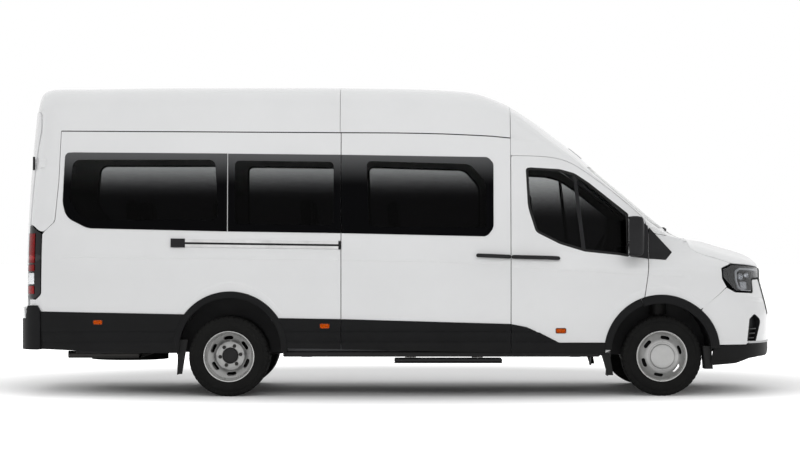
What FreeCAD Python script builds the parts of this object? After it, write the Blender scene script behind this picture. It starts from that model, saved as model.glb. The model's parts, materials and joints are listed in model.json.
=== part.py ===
"""High-roof minibus with twin rear wheels, as an assembly of separate pieces in real millimetres.

Frame: +X is the driving direction, +Y the left side, +Z up. The origin lies on the ground, in the middle of
the bounding box. The sliding passenger door is on the right side (-Y) and the steering wheel on the left.
"""
import FreeCAD
import Part

import math
import os

from FreeCAD import Vector

# ---------------------------------------------------------------- driving dimensions (mm)
TAIL_X = -3310
FRONT_AXLE_X = 2300
REAR_AXLE_X = -1450
ROOF_Z = 2678
HALF_WIDTH = 1030
WALL = 60
GLASS = 6
GAP = 6
SEAM = 1

TYRE_R = 347
TYRE_WIDTH = 195
RIM_R = 222
WHEEL_Z = 345
FRONT_WHEEL_Y = 866
REAR_OUTER_Y = 934
REAR_INNER_Y = 714
DISC_OFFSET = 110
KINGPIN_Y = 800
STRUT_Y = 640
SPINDLE_R = 30
SPINDLE_PLAY = 0.06

FRONT_ARCH_R = 413
FRONT_ARCH_Z = 395
REAR_ARCH_R = 400
REAR_ARCH_Z = 460

FLOOR_Z = 690
FLOOR_THICK = 40
B_PILLAR_X = 989
DOOR_REAR_X = -481
REAR_WALL_X = -3258
REAR_LEAN = 0.043
TAIL_BASE_Z = 600
REAR_DOOR_Y = 886
REAR_DOOR_BOTTOM = 590
REAR_DOOR_TOP = 2470
REAR_DOOR_SEAM = 10
FLOOR_CLEAR = 8
TOE_X = 2045
SILL_BOTTOM = 350
JACK_PAD_BOTTOM = 336
TOW_PLATE = {"spacing": 90, "z": 475, "r": 8.5}

# Hinge lines, and where the barrels of each door or lid lie along them
DOOR_HINGE = {"x": 2190, "y": 1045, "r": 8, "barrels": ((760, 820), (1100, 1160))}
REAR_HINGE = {"x": -3276, "y": 892, "r": 9, "barrels": ((672, 728), (1990, 2046))}
BONNET_HINGE = {"x": 2520, "z": 1375, "r": 8, "barrels": ((-500, -460), (460, 500))}

SEAT_ROWS = (60, -700, -1460, -2220)
LAST_ROW_X = -2940
SEAT_WIDTH = 430
STEP_BRACKETS = ((73, 168), (652, 747))

SCREEN_TOP = (1756, 1998)
SCREEN_FOOT = (2392, 1467)
SCREEN_BASE_Z = 1398
SCREEN_BOW = 130

RIGHT, LEFT = -1, 1
X_AXIS, Y_AXIS, Z_AXIS = Vector(1, 0, 0), Vector(0, 1, 0), Vector(0, 0, 1)


# ---------------------------------------------------------------- shape helpers
def place(plane, u, v, w):
    """A point from in-plane coordinates u, v and the height w over the plane."""
    return {"xz": Vector(u, w, v), "yz": Vector(w, u, v), "xy": Vector(u, v, w)}[plane]


def rounded_wire(points, plane, w=0.0):
    """A closed wire of straight runs. A point is (u, v) or (u, v, radius); radius rounds its corner."""
    n = len(points)
    flat = [(p[0], p[1], p[2] if len(p) > 2 else 0) for p in points]
    ends = []
    for i, (u, v, r) in enumerate(flat):
        before, here, after = flat[i - 1], (u, v), flat[(i + 1) % n]
        a = Vector(before[0] - u, before[1] - v, 0).normalize()
        b = Vector(after[0] - u, after[1] - v, 0).normalize()
        if not r:
            ends.append((here, None, here))
            continue
        half = a.getAngle(b) / 2
        t = r / math.tan(half)
        bisector = (a + b).normalize()
        deep = r / math.sin(half) - r
        start = (u + a.x * t, v + a.y * t)
        middle = (u + bisector.x * deep, v + bisector.y * deep)
        end = (u + b.x * t, v + b.y * t)
        ends.append((start, middle, end))
    edges = []
    for i, (start, middle, end) in enumerate(ends):
        if middle:
            bend = [place(plane, *spot, w) for spot in (start, middle, end)]
            edges.append(Part.Arc(*bend).toShape())
        nxt = ends[(i + 1) % n][0]
        a, b = place(plane, *end, w), place(plane, *nxt, w)
        if a.distanceToPoint(b) > 0.01:
            edges.append(Part.LineSegment(a, b).toShape())
    return Part.Wire(edges)


def prism(points, plane, low, high, inset=0.0, along=None):
    """A rounded outline drawn at height low and pushed to height high, or along a direction."""
    wire = rounded_wire(points, plane, low)
    face = Part.Face(wire)
    if inset:
        face = face.makeOffset2D(-inset)
    push = along if along else place(plane, 0, 0, 1)
    return face.extrude(push * (high - low))


def box(x0, x1, y0, y1, z0, z1):
    """An axis-aligned block between two corners, in any order."""
    lo = Vector(min(x0, x1), min(y0, y1), min(z0, z1))
    hi = Vector(max(x0, x1), max(y0, y1), max(z0, z1))
    return Part.makeBox(hi.x - lo.x, hi.y - lo.y, hi.z - lo.z, lo)


def rod(a, b, r):
    """A round bar from a to b."""
    a, b = Vector(*a), Vector(*b)
    return Part.makeCylinder(r, a.distanceToPoint(b), a, b - a)


def disc(x, z, r, y0, y1):
    """A cylinder along Y between two y values."""
    return Part.makeCylinder(r, abs(y1 - y0), Vector(x, min(y0, y1), z), Y_AXIS)


def mirrored(shape):
    """The same piece on the other side of the vehicle."""
    return shape.mirror(Vector(0, 0, 0), Y_AXIS)


def bent_pipe(points, r):
    """A round pipe through points, with round corners."""
    path = Part.makePolygon([Vector(*p) for p in points])
    start = Vector(*points[0])
    ring = Part.Wire(Part.makeCircle(r, start, Vector(*points[1]) - start))
    sweep = Part.BRepOffsetAPI.MakePipeShell(path)
    sweep.setTransitionMode(2)
    sweep.add(ring)
    sweep.build()
    sweep.makeSolid()
    return sweep.shape()


def fuse(shapes):
    """One solid from overlapping solids."""
    first, rest = shapes[0], shapes[1:]
    return (first.multiFuse(rest) if rest else first).removeSplitter()


def side_prism(points, side, inset=0.0, inner=0.0):
    """An XZ outline pushed right through one side of the vehicle, from y = inner outwards."""
    low, high = (inner, 1400) if side == LEFT else (-1400, -inner)
    return prism(points, "xz", low, high, inset)


def grown(points, by):
    """An outline pushed through both sides and made larger by a gap."""
    return prism(points, "xz", -1400, 1400, -by)


# ---------------------------------------------------------------- the body's outer shape
# Side view, at the centre line: (x, z, corner radius)
BODY_PROFILE = [
    (REAR_WALL_X + REAR_LEAN * (200 - TAIL_BASE_Z), 200),
    (REAR_WALL_X + REAR_LEAN * (ROOF_Z - TAIL_BASE_Z), ROOF_Z, 130),
    (940, ROOF_Z, 1285),
    (2480, 1407),
    (2500, 1390, 10),
    (2720, 1343, 300),
    (3050, 1245, 250),
    (3235, 1130, 90),
    (3315, 740, 300),
    (3305, 380, 60),
    (3230, 290, 60),
    (2700, 225),
    (2600, 200),
]
# Cross section, right half first: (y, z, corner radius)
HALF_SECTION = [
    (975, 200),
    (1012, 470, 400),
    (HALF_WIDTH, 1000, 900),
    (1012, 1420, 900),
    (935, 2290, 600),
    (868, 2618, 130),
    (300, ROOF_Z + 1, 2500),
]
# Plan view of the nose: (x, y, corner radius)
NOSE_PLAN = [
    (-4000, 1200),
    (1500, 1200),
    (1500, 1045),
    (2700, 1040, 1400),
    (3185, 900, 230),
    (3311, 330, 900),
]
# Plan view of the tail, at z = TAIL_BASE_Z
TAIL_PLAN = [(4000, 1200), (-3000, 1200), (-3000, 1042, 10), (REAR_WALL_X, 1042, 105)]
# The cab narrows above the waist: outer plane of the side glass
CAB_TAPER = {
    "start_x": 1000,
    "waist_y": 1012,
    "foot_x": 2400,
    "foot_y": 905,
    "lean": 0.081,
    "waist_z": 1420,
    "shoulder_z": 1215,
}


def both_halves(half):
    """A closed plan outline from its one half (x, y, radius), which is repeated on the other side."""
    flip = [(p[0], -p[1]) + tuple(p[2:]) for p in reversed(half)]
    return list(half) + flip


def both_sides(half):
    """A closed cross outline from its one half (y, z, radius), which is repeated on the other side."""
    flip = [(-p[0], p[1]) + tuple(p[2:]) for p in reversed(half)]
    return list(half) + flip


def cab_side_cut(inset):
    """What the cab's slanting side glass planes cut away, both sides."""
    t = CAB_TAPER
    run = (t["waist_y"] - t["foot_y"]) / (t["foot_x"] - t["start_x"])

    def y_at(x, z):
        return t["waist_y"] - run * (x - t["start_x"]) - t["lean"] * (z - t["waist_z"]) - inset

    start, low, high = t["start_x"] - 300, t["shoulder_z"] - inset, 2900
    points = [(1500, low - 60), (y_at(start, low), low), (y_at(start, high), high), (1500, high)]
    wedge = prism(points, "yz", start, start + 2700, 0.0, Vector(1, -run, 0))
    return [wedge, mirrored(wedge)]


def screen_cut(inset):
    """Everything ahead of the bowed windscreen, whose surface runs straight along its rake."""
    foot, top = Vector(SCREEN_FOOT[0], 0, SCREEN_FOOT[1]), Vector(SCREEN_TOP[0], 0, SCREEN_TOP[1])
    rake = (top - foot).normalize()
    start = foot - rake * 400
    edge = 1100
    bow = SCREEN_BOW * (edge / 850.0) ** 2
    x = start.x - inset / rake.z
    left, right = [Vector(x - bow, y, start.z) for y in (edge, -edge)]
    middle = Vector(x, 0, start.z)
    ahead = Vector(4000, 0, 0)
    edges = [
        Part.Arc(right, middle, left).toShape(),
        Part.makeLine(left, left + ahead),
        Part.makeLine(left + ahead, right + ahead),
        Part.makeLine(right + ahead, right),
    ]
    block = Part.Face(Part.Wire(edges)).extrude(rake * 3000)
    return block.common(box(-3600, 9000, -1200, 1200, SCREEN_BASE_Z - inset, 3600))


def envelope(inset):
    """The closed outer shape of the body, shrunk by an inset all round."""
    solid = prism(BODY_PROFILE, "xz", -1200, 1200, inset)
    solid = solid.common(prism(both_sides(HALF_SECTION), "yz", -3600, 3600, inset))
    solid = solid.common(prism(both_halves(NOSE_PLAN), "xy", 100, 2800, inset))
    lean = Vector(REAR_LEAN, 0, 1)
    tail = prism(both_halves(TAIL_PLAN), "xy", 100, 2800, inset, lean)
    tail.translate(Vector(REAR_LEAN * (100 - TAIL_BASE_Z), 0, 0))
    solid = solid.common(tail)
    return solid.cut(cab_side_cut(inset) + [screen_cut(inset)])


# ---------------------------------------------------------------- panel outlines in side view (x, z, corner radius)
GUTTER = [(-3400, 2303), (DOOR_REAR_X, 2283), (B_PILLAR_X, 2235)]
CLADDING_BOTTOM = [(-3400, 410), (-1900, 378), (-930, 412), (B_PILLAR_X, 374)]

SLIDING_DOOR = [
    (DOOR_REAR_X, 402),
    (DOOR_REAR_X, 2283, 20),
    (B_PILLAR_X, 2235, 20),
    (B_PILLAR_X, 374),
]
FRONT_DOOR = [
    (B_PILLAR_X, 374),
    (B_PILLAR_X, 2086, 12),
    (1330, 2078, 500),
    (2105, 1578, 40),
    (2184, 1462, 60),
    (2184, 1150, 300),
    (2128, 780),
    (2128, 560),
    (1830, 372),
]
FRONT_DOOR_GLASS = [
    (1112, 1984, 50),
    (1425, 1974, 200),
    (1600, 1893, 400),
    (2060, 1540, 30),
    (2060, 1232, 30),
    (1640, 1252, 300),
    (1168, 1442, 110),
]
SIDE_GLASS = {
    "rear": [(-2885, 2108, 60), (-1466, 2101, 10), (-1466, 1428, 10), (-2660, 1452, 200), (-2885, 1580, 110)],
    "middle": [(-1456, 2101, 10), (-500, 2091, 10), (-500, 1412, 10), (-1456, 1428, 10)],
    "front": [(-462, 2091, 10), (839, 2071, 60), (839, 1385, 60), (-462, 1411, 10)],
}
REAR_LAMP_SIDE = [
    (-3400, 1480),
    (-3180, 1466),
    (-3078, 1405, 20),
    (-3078, 880, 40),
    (-3130, 842),
    (-3400, 846),
]
BONNET_CUT = [
    (2524, 1352, 30),
    (2560, 1285, 60),
    (2750, 1204, 200),
    (2905, 1153),
    (3130, 1128),
    (3400, 1110),
    (3400, 1700),
    (2480, 1700),
    (2480, 1380),
]
HEADLAMP = [
    (2821, 1109, 20),
    (2908, 1146, 20),
    (3140, 1118),
    (3160, 1060),
    (3110, 990, 20),
    (3110, 886, 20),
    (2942, 903, 20),
    (2829, 1022, 20),
]
BUMPER_LINE = [(2680, 772), (2830, 912), (2830, 1000), (3500, 1000), (3500, 150), (2660, 150), (2660, 400)]
WING = [
    (2192, 700),
    (2192, 1466),
    (2420, 1466),
    (2530, 1356),
    (2905, 1160),
    (2905, 770),
    (2700, 540),
    (2660, 380),
]
# Seen along X: half of the windscreen opening and of the grille (y, z, corner radius)
SCREEN_HALF = [(740, 1985, 70), (820, 1480, 90)]
GRILLE_HALF = [(560, 1118, 20), (600, 830, 60), (470, 560, 60)]
REAR_PANE = {"low_y": 90, "high_y": 790, "low_z": 1440, "high_z": 2110, "lean": 30}


def arch_tool(axle_x, z, r, gap=0.0):
    """The wheel arch opening through both sides, with its straight lower run."""
    round_part = disc(axle_x, z, r + gap, -1400, 1400)
    return round_part.fuse(box(axle_x - r - gap, axle_x + r + gap, -1400, 1400, 100, z))


def below(line, depth=-400):
    """A prism of all that is under a line of (x, z) points."""
    points = [(line[0][0], depth)] + line + [(line[-1][0], depth)]
    return prism(points, "xz", -1400, 1400)


def one_side(shape, side, inner=0.0):
    """The part of a shape on one side of the vehicle, outside y = inner."""
    keep = box(-3600, 3600, side * inner, side * 1400, 0, 2900)
    return shape.common(keep)


def tail_zone(y0, y1, z0, z1):
    """The room of the leaning rear wall between two y values and two heights."""
    x0, x1 = [REAR_WALL_X + REAR_LEAN * (z - TAIL_BASE_Z) + WALL + 2 for z in (z0, z1)]
    return prism([(-3400, z0), (x0, z0), (x1, z1), (-3400, z1)], "xz", min(y0, y1), max(y0, y1))


def above_gutter():
    """A prism of all that is over the gutter, as far forward as the roof panel goes."""
    points = GUTTER + [(B_PILLAR_X, 2900), (-3400, 2900)]
    return prism(points, "xz", -1400, 1400)


def build_body(out, wall, skin):
    """The fixed shell: roof, side panels, sliding door, cab shell, wings and their glass."""
    rear_arch = arch_tool(REAR_AXLE_X, REAR_ARCH_Z, REAR_ARCH_R)
    front_arch = arch_tool(FRONT_AXLE_X, FRONT_ARCH_Z, FRONT_ARCH_R)
    lamp_cut = {s: side_prism(REAR_LAMP_SIDE, s, inner=880) for s in (LEFT, RIGHT)}
    lamp_zone = box(-3400, -3000, -1400, 1400, 800, 1500)
    lower_line = below(CLADDING_BOTTOM + [(2900, 330)])
    bumper_corner = box(-3400, -3100, -1400, 1400, 100, 785)

    roof_zone = above_gutter()
    rear_doorway = tail_zone(-REAR_DOOR_Y, REAR_DOOR_Y, 100, REAR_DOOR_TOP + GAP)
    out["roof"] = wall.common(roof_zone).cut(rear_doorway)

    behind_pillar = box(-3400, B_PILLAR_X - GAP, -1400, 1400, 0, 2900)
    sides = wall.common(behind_pillar).cut([roof_zone, lower_line, rear_arch, bumper_corner])
    no_floor = box(-3600, 3600, -900, 900, 0, 700)
    sides = sides.cut([no_floor, rear_doorway])
    panes = [prism(p, "xz", -1400, 1400) for p in SIDE_GLASS.values()]
    left = one_side(sides, LEFT, 400).cut(panes + [lamp_cut[LEFT]])
    right = one_side(sides, RIGHT, 400).cut([lamp_cut[RIGHT], grown(SLIDING_DOOR, GAP)] + panes)
    out["left_side_panel"] = left
    out["right_side_panel"] = right
    out["sliding_door"] = one_side(wall, RIGHT, 400).common(side_prism(SLIDING_DOOR, RIGHT)).cut(panes)
    out["side_windows"] = Part.makeCompound(
        [skin.common(side_prism(p, s, 1.0)) for p in SIDE_GLASS.values() for s in (LEFT, RIGHT)]
    )
    lamps = wall.common(lamp_zone)
    pair = [lamps.common(side_prism(REAR_LAMP_SIDE, s, 2.0, 884)) for s in (LEFT, RIGHT)]
    out["rear_lamps"] = Part.makeCompound(pair)

    cab_zone = box(B_PILLAR_X, 2480, -1400, 1400, 1405, 2900)
    screen_hole = prism(both_sides(SCREEN_HALF), "yz", 1500, 2600)
    door_gap = grown(FRONT_DOOR, GAP)
    cab = wall.common(cab_zone).cut([screen_hole, door_gap])
    cowl = box(2360, 2475, -840, 840, 1180, 1400).common(envelope(WALL + 4))
    out["cab_shell"] = fuse([cab, cowl.fuse(box(2380, 2460, -555, 555, 1300, 1440).common(envelope(4)))])
    out["windscreen"] = skin.common(prism(both_sides(SCREEN_HALF), "yz", 1500, 2600, SEAM))

    wing_zone = side_prism(WING, LEFT, inner=560).fuse(side_prism(WING, RIGHT, inner=560))
    bonnet_zone = prism(BONNET_CUT, "xz", -1400, 1400, -GAP)
    lamp_hole = [side_prism(HEADLAMP, s, -SEAM) for s in (LEFT, RIGHT)]
    bumper_zone = prism(BUMPER_LINE, "xz", -1400, 1400, -2)
    upper_cab = box(2000, 2600, -1400, 1400, 1404, 1700)
    wings = wall.common(wing_zone).cut([front_arch, bonnet_zone, door_gap, bumper_zone, upper_cab] + lamp_hole)
    out["front_wings"] = wings
    return front_arch


def build_front(out, wall, front_arch):
    """Bonnet with its hinge barrels, bumper, grille, headlamps and the crash beam."""
    nose = wall.common(box(2400, 3400, -1400, 1400, 150, 1500))
    bonnet_zone = prism(BONNET_CUT, "xz", -1400, 1400)
    bonnet = nose.common(bonnet_zone).common(box(2524, 3400, -990, 990, 1100, 1500))
    barrels = []
    hinge = BONNET_HINGE
    for y0, y1 in hinge["barrels"]:
        barrels.append(disc(hinge["x"], hinge["z"], hinge["r"], y0, y1))
        barrels.append(box(hinge["x"], hinge["x"] + 30, y0, y1, hinge["z"] - 6, hinge["z"] + 6))
    out["bonnet"] = fuse([bonnet] + barrels)

    lamp_keep = [side_prism(HEADLAMP, s, SEAM, 520) for s in (LEFT, RIGHT)]
    out["headlamps"] = Part.makeCompound([nose.common(k) for k in lamp_keep])

    grille_outline = both_sides(GRILLE_HALF)
    grille_zone = prism(grille_outline, "yz", 3000, 3400)
    grille = nose.common(prism(grille_outline, "yz", 3000, 3400, 2 * SEAM))
    out["grille"] = grille.cut(prism(BONNET_CUT, "xz", -1400, 1400, -GAP))

    bumper_zone = prism(BUMPER_LINE, "xz", -1400, 1400)
    lamp_hole = [side_prism(HEADLAMP, s, 0, 420) for s in (LEFT, RIGHT)]
    shell = nose.common(bumper_zone)
    out["front_bumper"] = shell.cut([grille_zone, front_arch, grown(BONNET_CUT, GAP)] + lamp_hole)
    out["crash_beam"] = box(2960, 3080, -640, 640, 470, 610)


def disc_x(x0, x1, y, z, r):
    """A cylinder along X."""
    return Part.makeCylinder(r, x1 - x0, Vector(x0, y, z), X_AXIS)


def build_doors(out, wall, skin, front_arch):
    """Front doors with glass and mirrors, and the twin rear doors with glass, each with its hinge barrels."""
    for side, name in ((LEFT, "left"), (RIGHT, "right")):
        bevel = prism([(985, side * 1100), (985, side * 800), (1012, side * 800)], "xy", 300, 2200)
        door = one_side(wall, side, 840).common(side_prism(FRONT_DOOR, side)).cut([front_arch, bevel])
        door = door.cut(side_prism(FRONT_DOOR_GLASS, side))
        out[f"front_{name}_door"] = fuse([door] + front_barrels(side))
        out[f"front_{name}_window"] = skin.common(side_prism(FRONT_DOOR_GLASS, side, SEAM))
        out[f"front_{name}_mirror"] = mirror(side)

        inner, outer = side * REAR_DOOR_SEAM / 2, side * (REAR_DOOR_Y - GAP)
        rear = wall.common(tail_zone(inner, outer, REAR_DOOR_BOTTOM, REAR_DOOR_TOP))
        p = REAR_PANE
        pane = [
            (side * p["low_y"], p["low_z"], 50),
            (side * p["high_y"], p["low_z"], 50),
            (side * (p["high_y"] - p["lean"]), p["high_z"], 60),
            (side * p["low_y"], p["high_z"], 60),
        ]
        rear = rear.cut(prism(pane, "yz", -3400, -3000))
        out[f"rear_{name}_door"] = fuse([rear] + rear_barrels(side))
        out[f"rear_{name}_window"] = skin.common(prism(pane, "yz", -3400, -3000, SEAM))


def front_barrels(side):
    """Hinge barrels of a front door, each on a short arm from the door's leading edge."""
    h = DOOR_HINGE
    parts = []
    for z0, z1 in h["barrels"]:
        parts.append(rod((h["x"], side * h["y"], z0), (h["x"], side * h["y"], z1), h["r"]))
        parts.append(box(h["x"] - 110, h["x"], side * (h["y"] - 4), side * (h["y"] + 4), z0, z1))
        parts.append(box(h["x"] - 110, h["x"] - 70, side * 990, side * (h["y"] + 4), z0, z1))
    return parts


def rear_barrels(side):
    """Hinge barrels of a rear door, on its leaning hinge line, each on an arm from the door."""
    h = REAR_HINGE
    parts = []
    for z0, z1 in h["barrels"]:
        x0 = h["x"] + REAR_LEAN * (z0 - TAIL_BASE_Z)
        x1 = h["x"] + REAR_LEAN * (z1 - TAIL_BASE_Z)
        parts.append(rod((x0, side * h["y"], z0), (x1, side * h["y"], z1), h["r"]))
        parts.append(box(x0 - 4, x0 + 30, side * (h["y"] - 60), side * (h["y"] - 14), z0, z1))
        parts.append(box(x0 - 4, x0 + 6, side * (h["y"] - 40), side * h["y"], z0, z1))
    return parts


def mirror(side):
    """A tall mirror housing on a short arm."""
    head = [(1990, 1085, 25), (2110, 1110, 45), (2125, 1225, 50), (1990, 1236, 20)]
    head = [(x, side * y, r) for x, y, r in head]
    housing = prism(head, "xy", 1212, 1560)
    arm_plan = [(2040, side * 955), (2105, side * 960), (2105, side * 1120), (2040, side * 1120)]
    arm = prism(arm_plan, "xy", 1240, 1330)
    return fuse([housing, arm.cut(envelope(0.5))])


def build_tail(out):
    """The rear bumper with its step, and the crossmember that carries a tow plate."""
    outline = both_halves([(-3106, 992), (-3150, 1000, 30), (-3262, 960, 90), (TAIL_X, 330, 700)])
    shell = prism(outline, "xy", 400, 580)
    hollow = both_halves([(-3050, 925), (-3200, 925, 60), (TAIL_X + 80, 300, 600)])
    shell = shell.cut(prism(hollow, "xy", 350, 540))
    corners = []
    for side in (LEFT, RIGHT):
        corner = [(-3106, 1004), (-3150, 1004, 40), (-3255, 975, 70), (-3255, 896), (-3106, 896)]
        corners.append(prism([(p[0], side * p[1]) + tuple(p[2:]) for p in corner], "xy", 500, 780))
    notch = box(-3400, -3100, -115, 115, 300, 545)
    out["rear_bumper"] = fuse([shell] + corners).cut(notch)
    plate = box(-3250, -3230, -90, 90, 420, 530)
    web = box(-3230, -3080, -60, 60, 440, 520)
    member = box(-3110, -3050, -700, 700, 430, 530)
    tow = fuse([plate, web, member])
    z, r = TOW_PLATE["z"], TOW_PLATE["r"]
    for y in (-TOW_PLATE["spacing"] / 2, TOW_PLATE["spacing"] / 2):
        tow = tow.cut(disc_x(-3260, -3225, y, z, r))
        tow = tow.cut(box(-3230, -3110, y - 18, y + 18, z - 18, z + 18))
    out["tow_crossmember"] = tow


# ---------------------------------------------------------------- floor, frame and running gear
def build_floor(out):
    """Floor, sills with jacking pads, and wheel housings, all inside the body's wall."""
    inside = envelope(WALL + FLOOR_CLEAR)
    floor = box(-3100, 1960, -955, 955, FLOOR_Z - FLOOR_THICK, FLOOR_Z)
    wells = []
    housings = []
    spans = (
        (REAR_AXLE_X, REAR_ARCH_Z, REAR_ARCH_R + 5, 560),
        (FRONT_AXLE_X, FRONT_ARCH_Z, FRONT_ARCH_R + 7, 545),
    )
    for axle_x, z, r, inner in spans:
        for side in (LEFT, RIGHT):
            solid = disc(axle_x, z, r + 8, side * (inner - 8), side * 962)
            hollow = disc(axle_x, z, r, side * inner, side * 1200)
            low = box(axle_x - 600, axle_x + 600, -1200, 1200, -500, z - 90)
            drum = disc(REAR_AXLE_X, WHEEL_Z, 160, -900, 900)
            strut = rod((FRONT_AXLE_X, side * STRUT_Y, 500), (FRONT_AXLE_X, side * STRUT_Y, 1100), 80)
            housings.append(solid.cut([hollow, low, drum, strut]).common(envelope(WALL + 2)))
            wells.append(disc(axle_x, z, r + 9, side * (inner - 9), side * 1200))
            wells.append(box(axle_x - r - 9, axle_x + r + 9, side * (inner - 9), side * 1200, 0, z))
    sill = box(-975, 1826, 860, 960, SILL_BOTTOM, 655)
    pads = [box(x - 45, x + 45, 876, 916, JACK_PAD_BOTTOM, SILL_BOTTOM + 6) for x in (-780, 1550)]
    side_beam = fuse([sill.cut(wells).common(inside)] + pads)
    foot_plate = box(1950, TOE_X, -530, 530, FLOOR_Z - FLOOR_THICK, FLOOR_Z)
    out["floor"] = fuse([floor.cut(wells).common(inside), foot_plate, side_beam, mirrored(side_beam)])
    toe = [
        (TOE_X, FLOOR_Z - FLOOR_THICK),
        (2325, 1000),
        (2325, 1060),
        (2312, 1060),
        (2312, 1016),
        (TOE_X, FLOOR_Z),
    ]
    out["toe_board"] = prism(toe, "xz", -530, 530)
    out["wheel_housings"] = Part.makeCompound(housings)


def build_frame(out):
    """Ladder frame, front crossmember with its arms, struts, and the brackets of the side step."""
    rails = []
    for side in (LEFT, RIGHT):
        rails.append(box(-3050, 1980, side * 400, side * 470, 500, 645))
        rails.append(box(1980, 2955, side * 400, side * 470, 500, 600))
    cross = [box(x, x + 70, -400, 400, 560, 640) for x in (-2700, -1900, -700, 300, 1000)]
    brackets = []
    for x0, x1 in STEP_BRACKETS:
        brackets.append(box(x0, x1, -960, -470, 336, 346))
        brackets.append(box(x0, x1, -500, -440, 340, 510))
    out["chassis_frame"] = fuse(rails + cross + brackets)

    parts = [box(2180, 2420, -395, 395, 260, 330)]
    for side in (LEFT, RIGHT):
        arm = [(2200, side * 360), (2400, side * 360), (2335, side * 835), (2265, side * 835)]
        parts.append(box(2240, 2360, side * 330, side * 395, 300, 495))
        parts.append(prism(arm, "xy", 183, 207))
        parts.append(box(2200, 2400, side * 345, side * 395, 183, 300))
    out["front_subframe"] = fuse(parts)

    struts = []
    for side in (LEFT, RIGHT):
        y = side * STRUT_Y
        damper = rod((FRONT_AXLE_X, y, 560), (FRONT_AXLE_X, y, 1060), 26)
        spring = rod((FRONT_AXLE_X, y, 700), (FRONT_AXLE_X, y, 1000), 72)
        struts.append(fuse([damper, spring]))
    out["struts"] = Part.makeCompound(struts)


def tyre(x, y, z=WHEEL_Z):
    """A road tyre: a turned ring with rounded shoulders, centred on y."""
    h = TYRE_WIDTH / 2
    profile = [
        (y - h + 14, RIM_R - 6, 6),
        (y - h, RIM_R + 46, 60),
        (y - h + 16, TYRE_R, 22),
        (y + h - 16, TYRE_R, 22),
        (y + h, RIM_R + 46, 60),
        (y + h - 14, RIM_R - 6, 6),
    ]
    return turned(profile, x, z)


def turned(points, x, z=WHEEL_Z):
    """A solid turned round the wheel's axle from (y, radius) points."""
    wire = rounded_wire(points, "yz", 0)
    solid = Part.Face(wire).revolve(Vector(0, 0, 0), Y_AXIS, 360)
    solid.translate(Vector(x, 0, z))
    return solid


def rim(x, centre, d):
    """A pressed steel wheel. centre is the rim's middle; its dished disc bulges to the d side of it."""
    face = centre + d * DISC_OFFSET
    h = TYRE_WIDTH / 2 - 16
    barrel = [
        (centre - h, RIM_R - 7),
        (centre - h, RIM_R),
        (centre - h + 8, RIM_R),
        (centre - h + 12, RIM_R - 8),
        (centre + h - 12, RIM_R - 8),
        (centre + h - 8, RIM_R),
        (centre + h, RIM_R),
        (centre + h, RIM_R - 7),
        (centre + h - 40, RIM_R - 17),
        (centre - h + 40, RIM_R - 17),
    ]
    ring = turned(barrel, x)
    join = centre + d * 34
    t = d * 9
    disc_profile = [(face, 40), (face - t, 40), (face - t, 128), (join - t, 211), (join, 211), (face, 132)]
    plate = turned(disc_profile, x)
    for k in range(6):
        angle = math.radians(60 * k + 20)
        hx, hz = x + 166 * math.cos(angle), WHEEL_Z + 166 * math.sin(angle)
        plate = plate.cut(disc(hx, hz, 17, face - 120, face + 120))
    return [ring, plate]


def hub(x, y0, y1, y_blind, r=62):
    """A hub with a blind running bore for its spindle, open at y0."""
    s = 1 if y1 > y0 else -1
    body = disc(x, WHEEL_Z, r, y0, y1)
    return body, disc(x, WHEEL_Z, SPINDLE_R + SPINDLE_PLAY, y0 - s * 5, y_blind)


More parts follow.
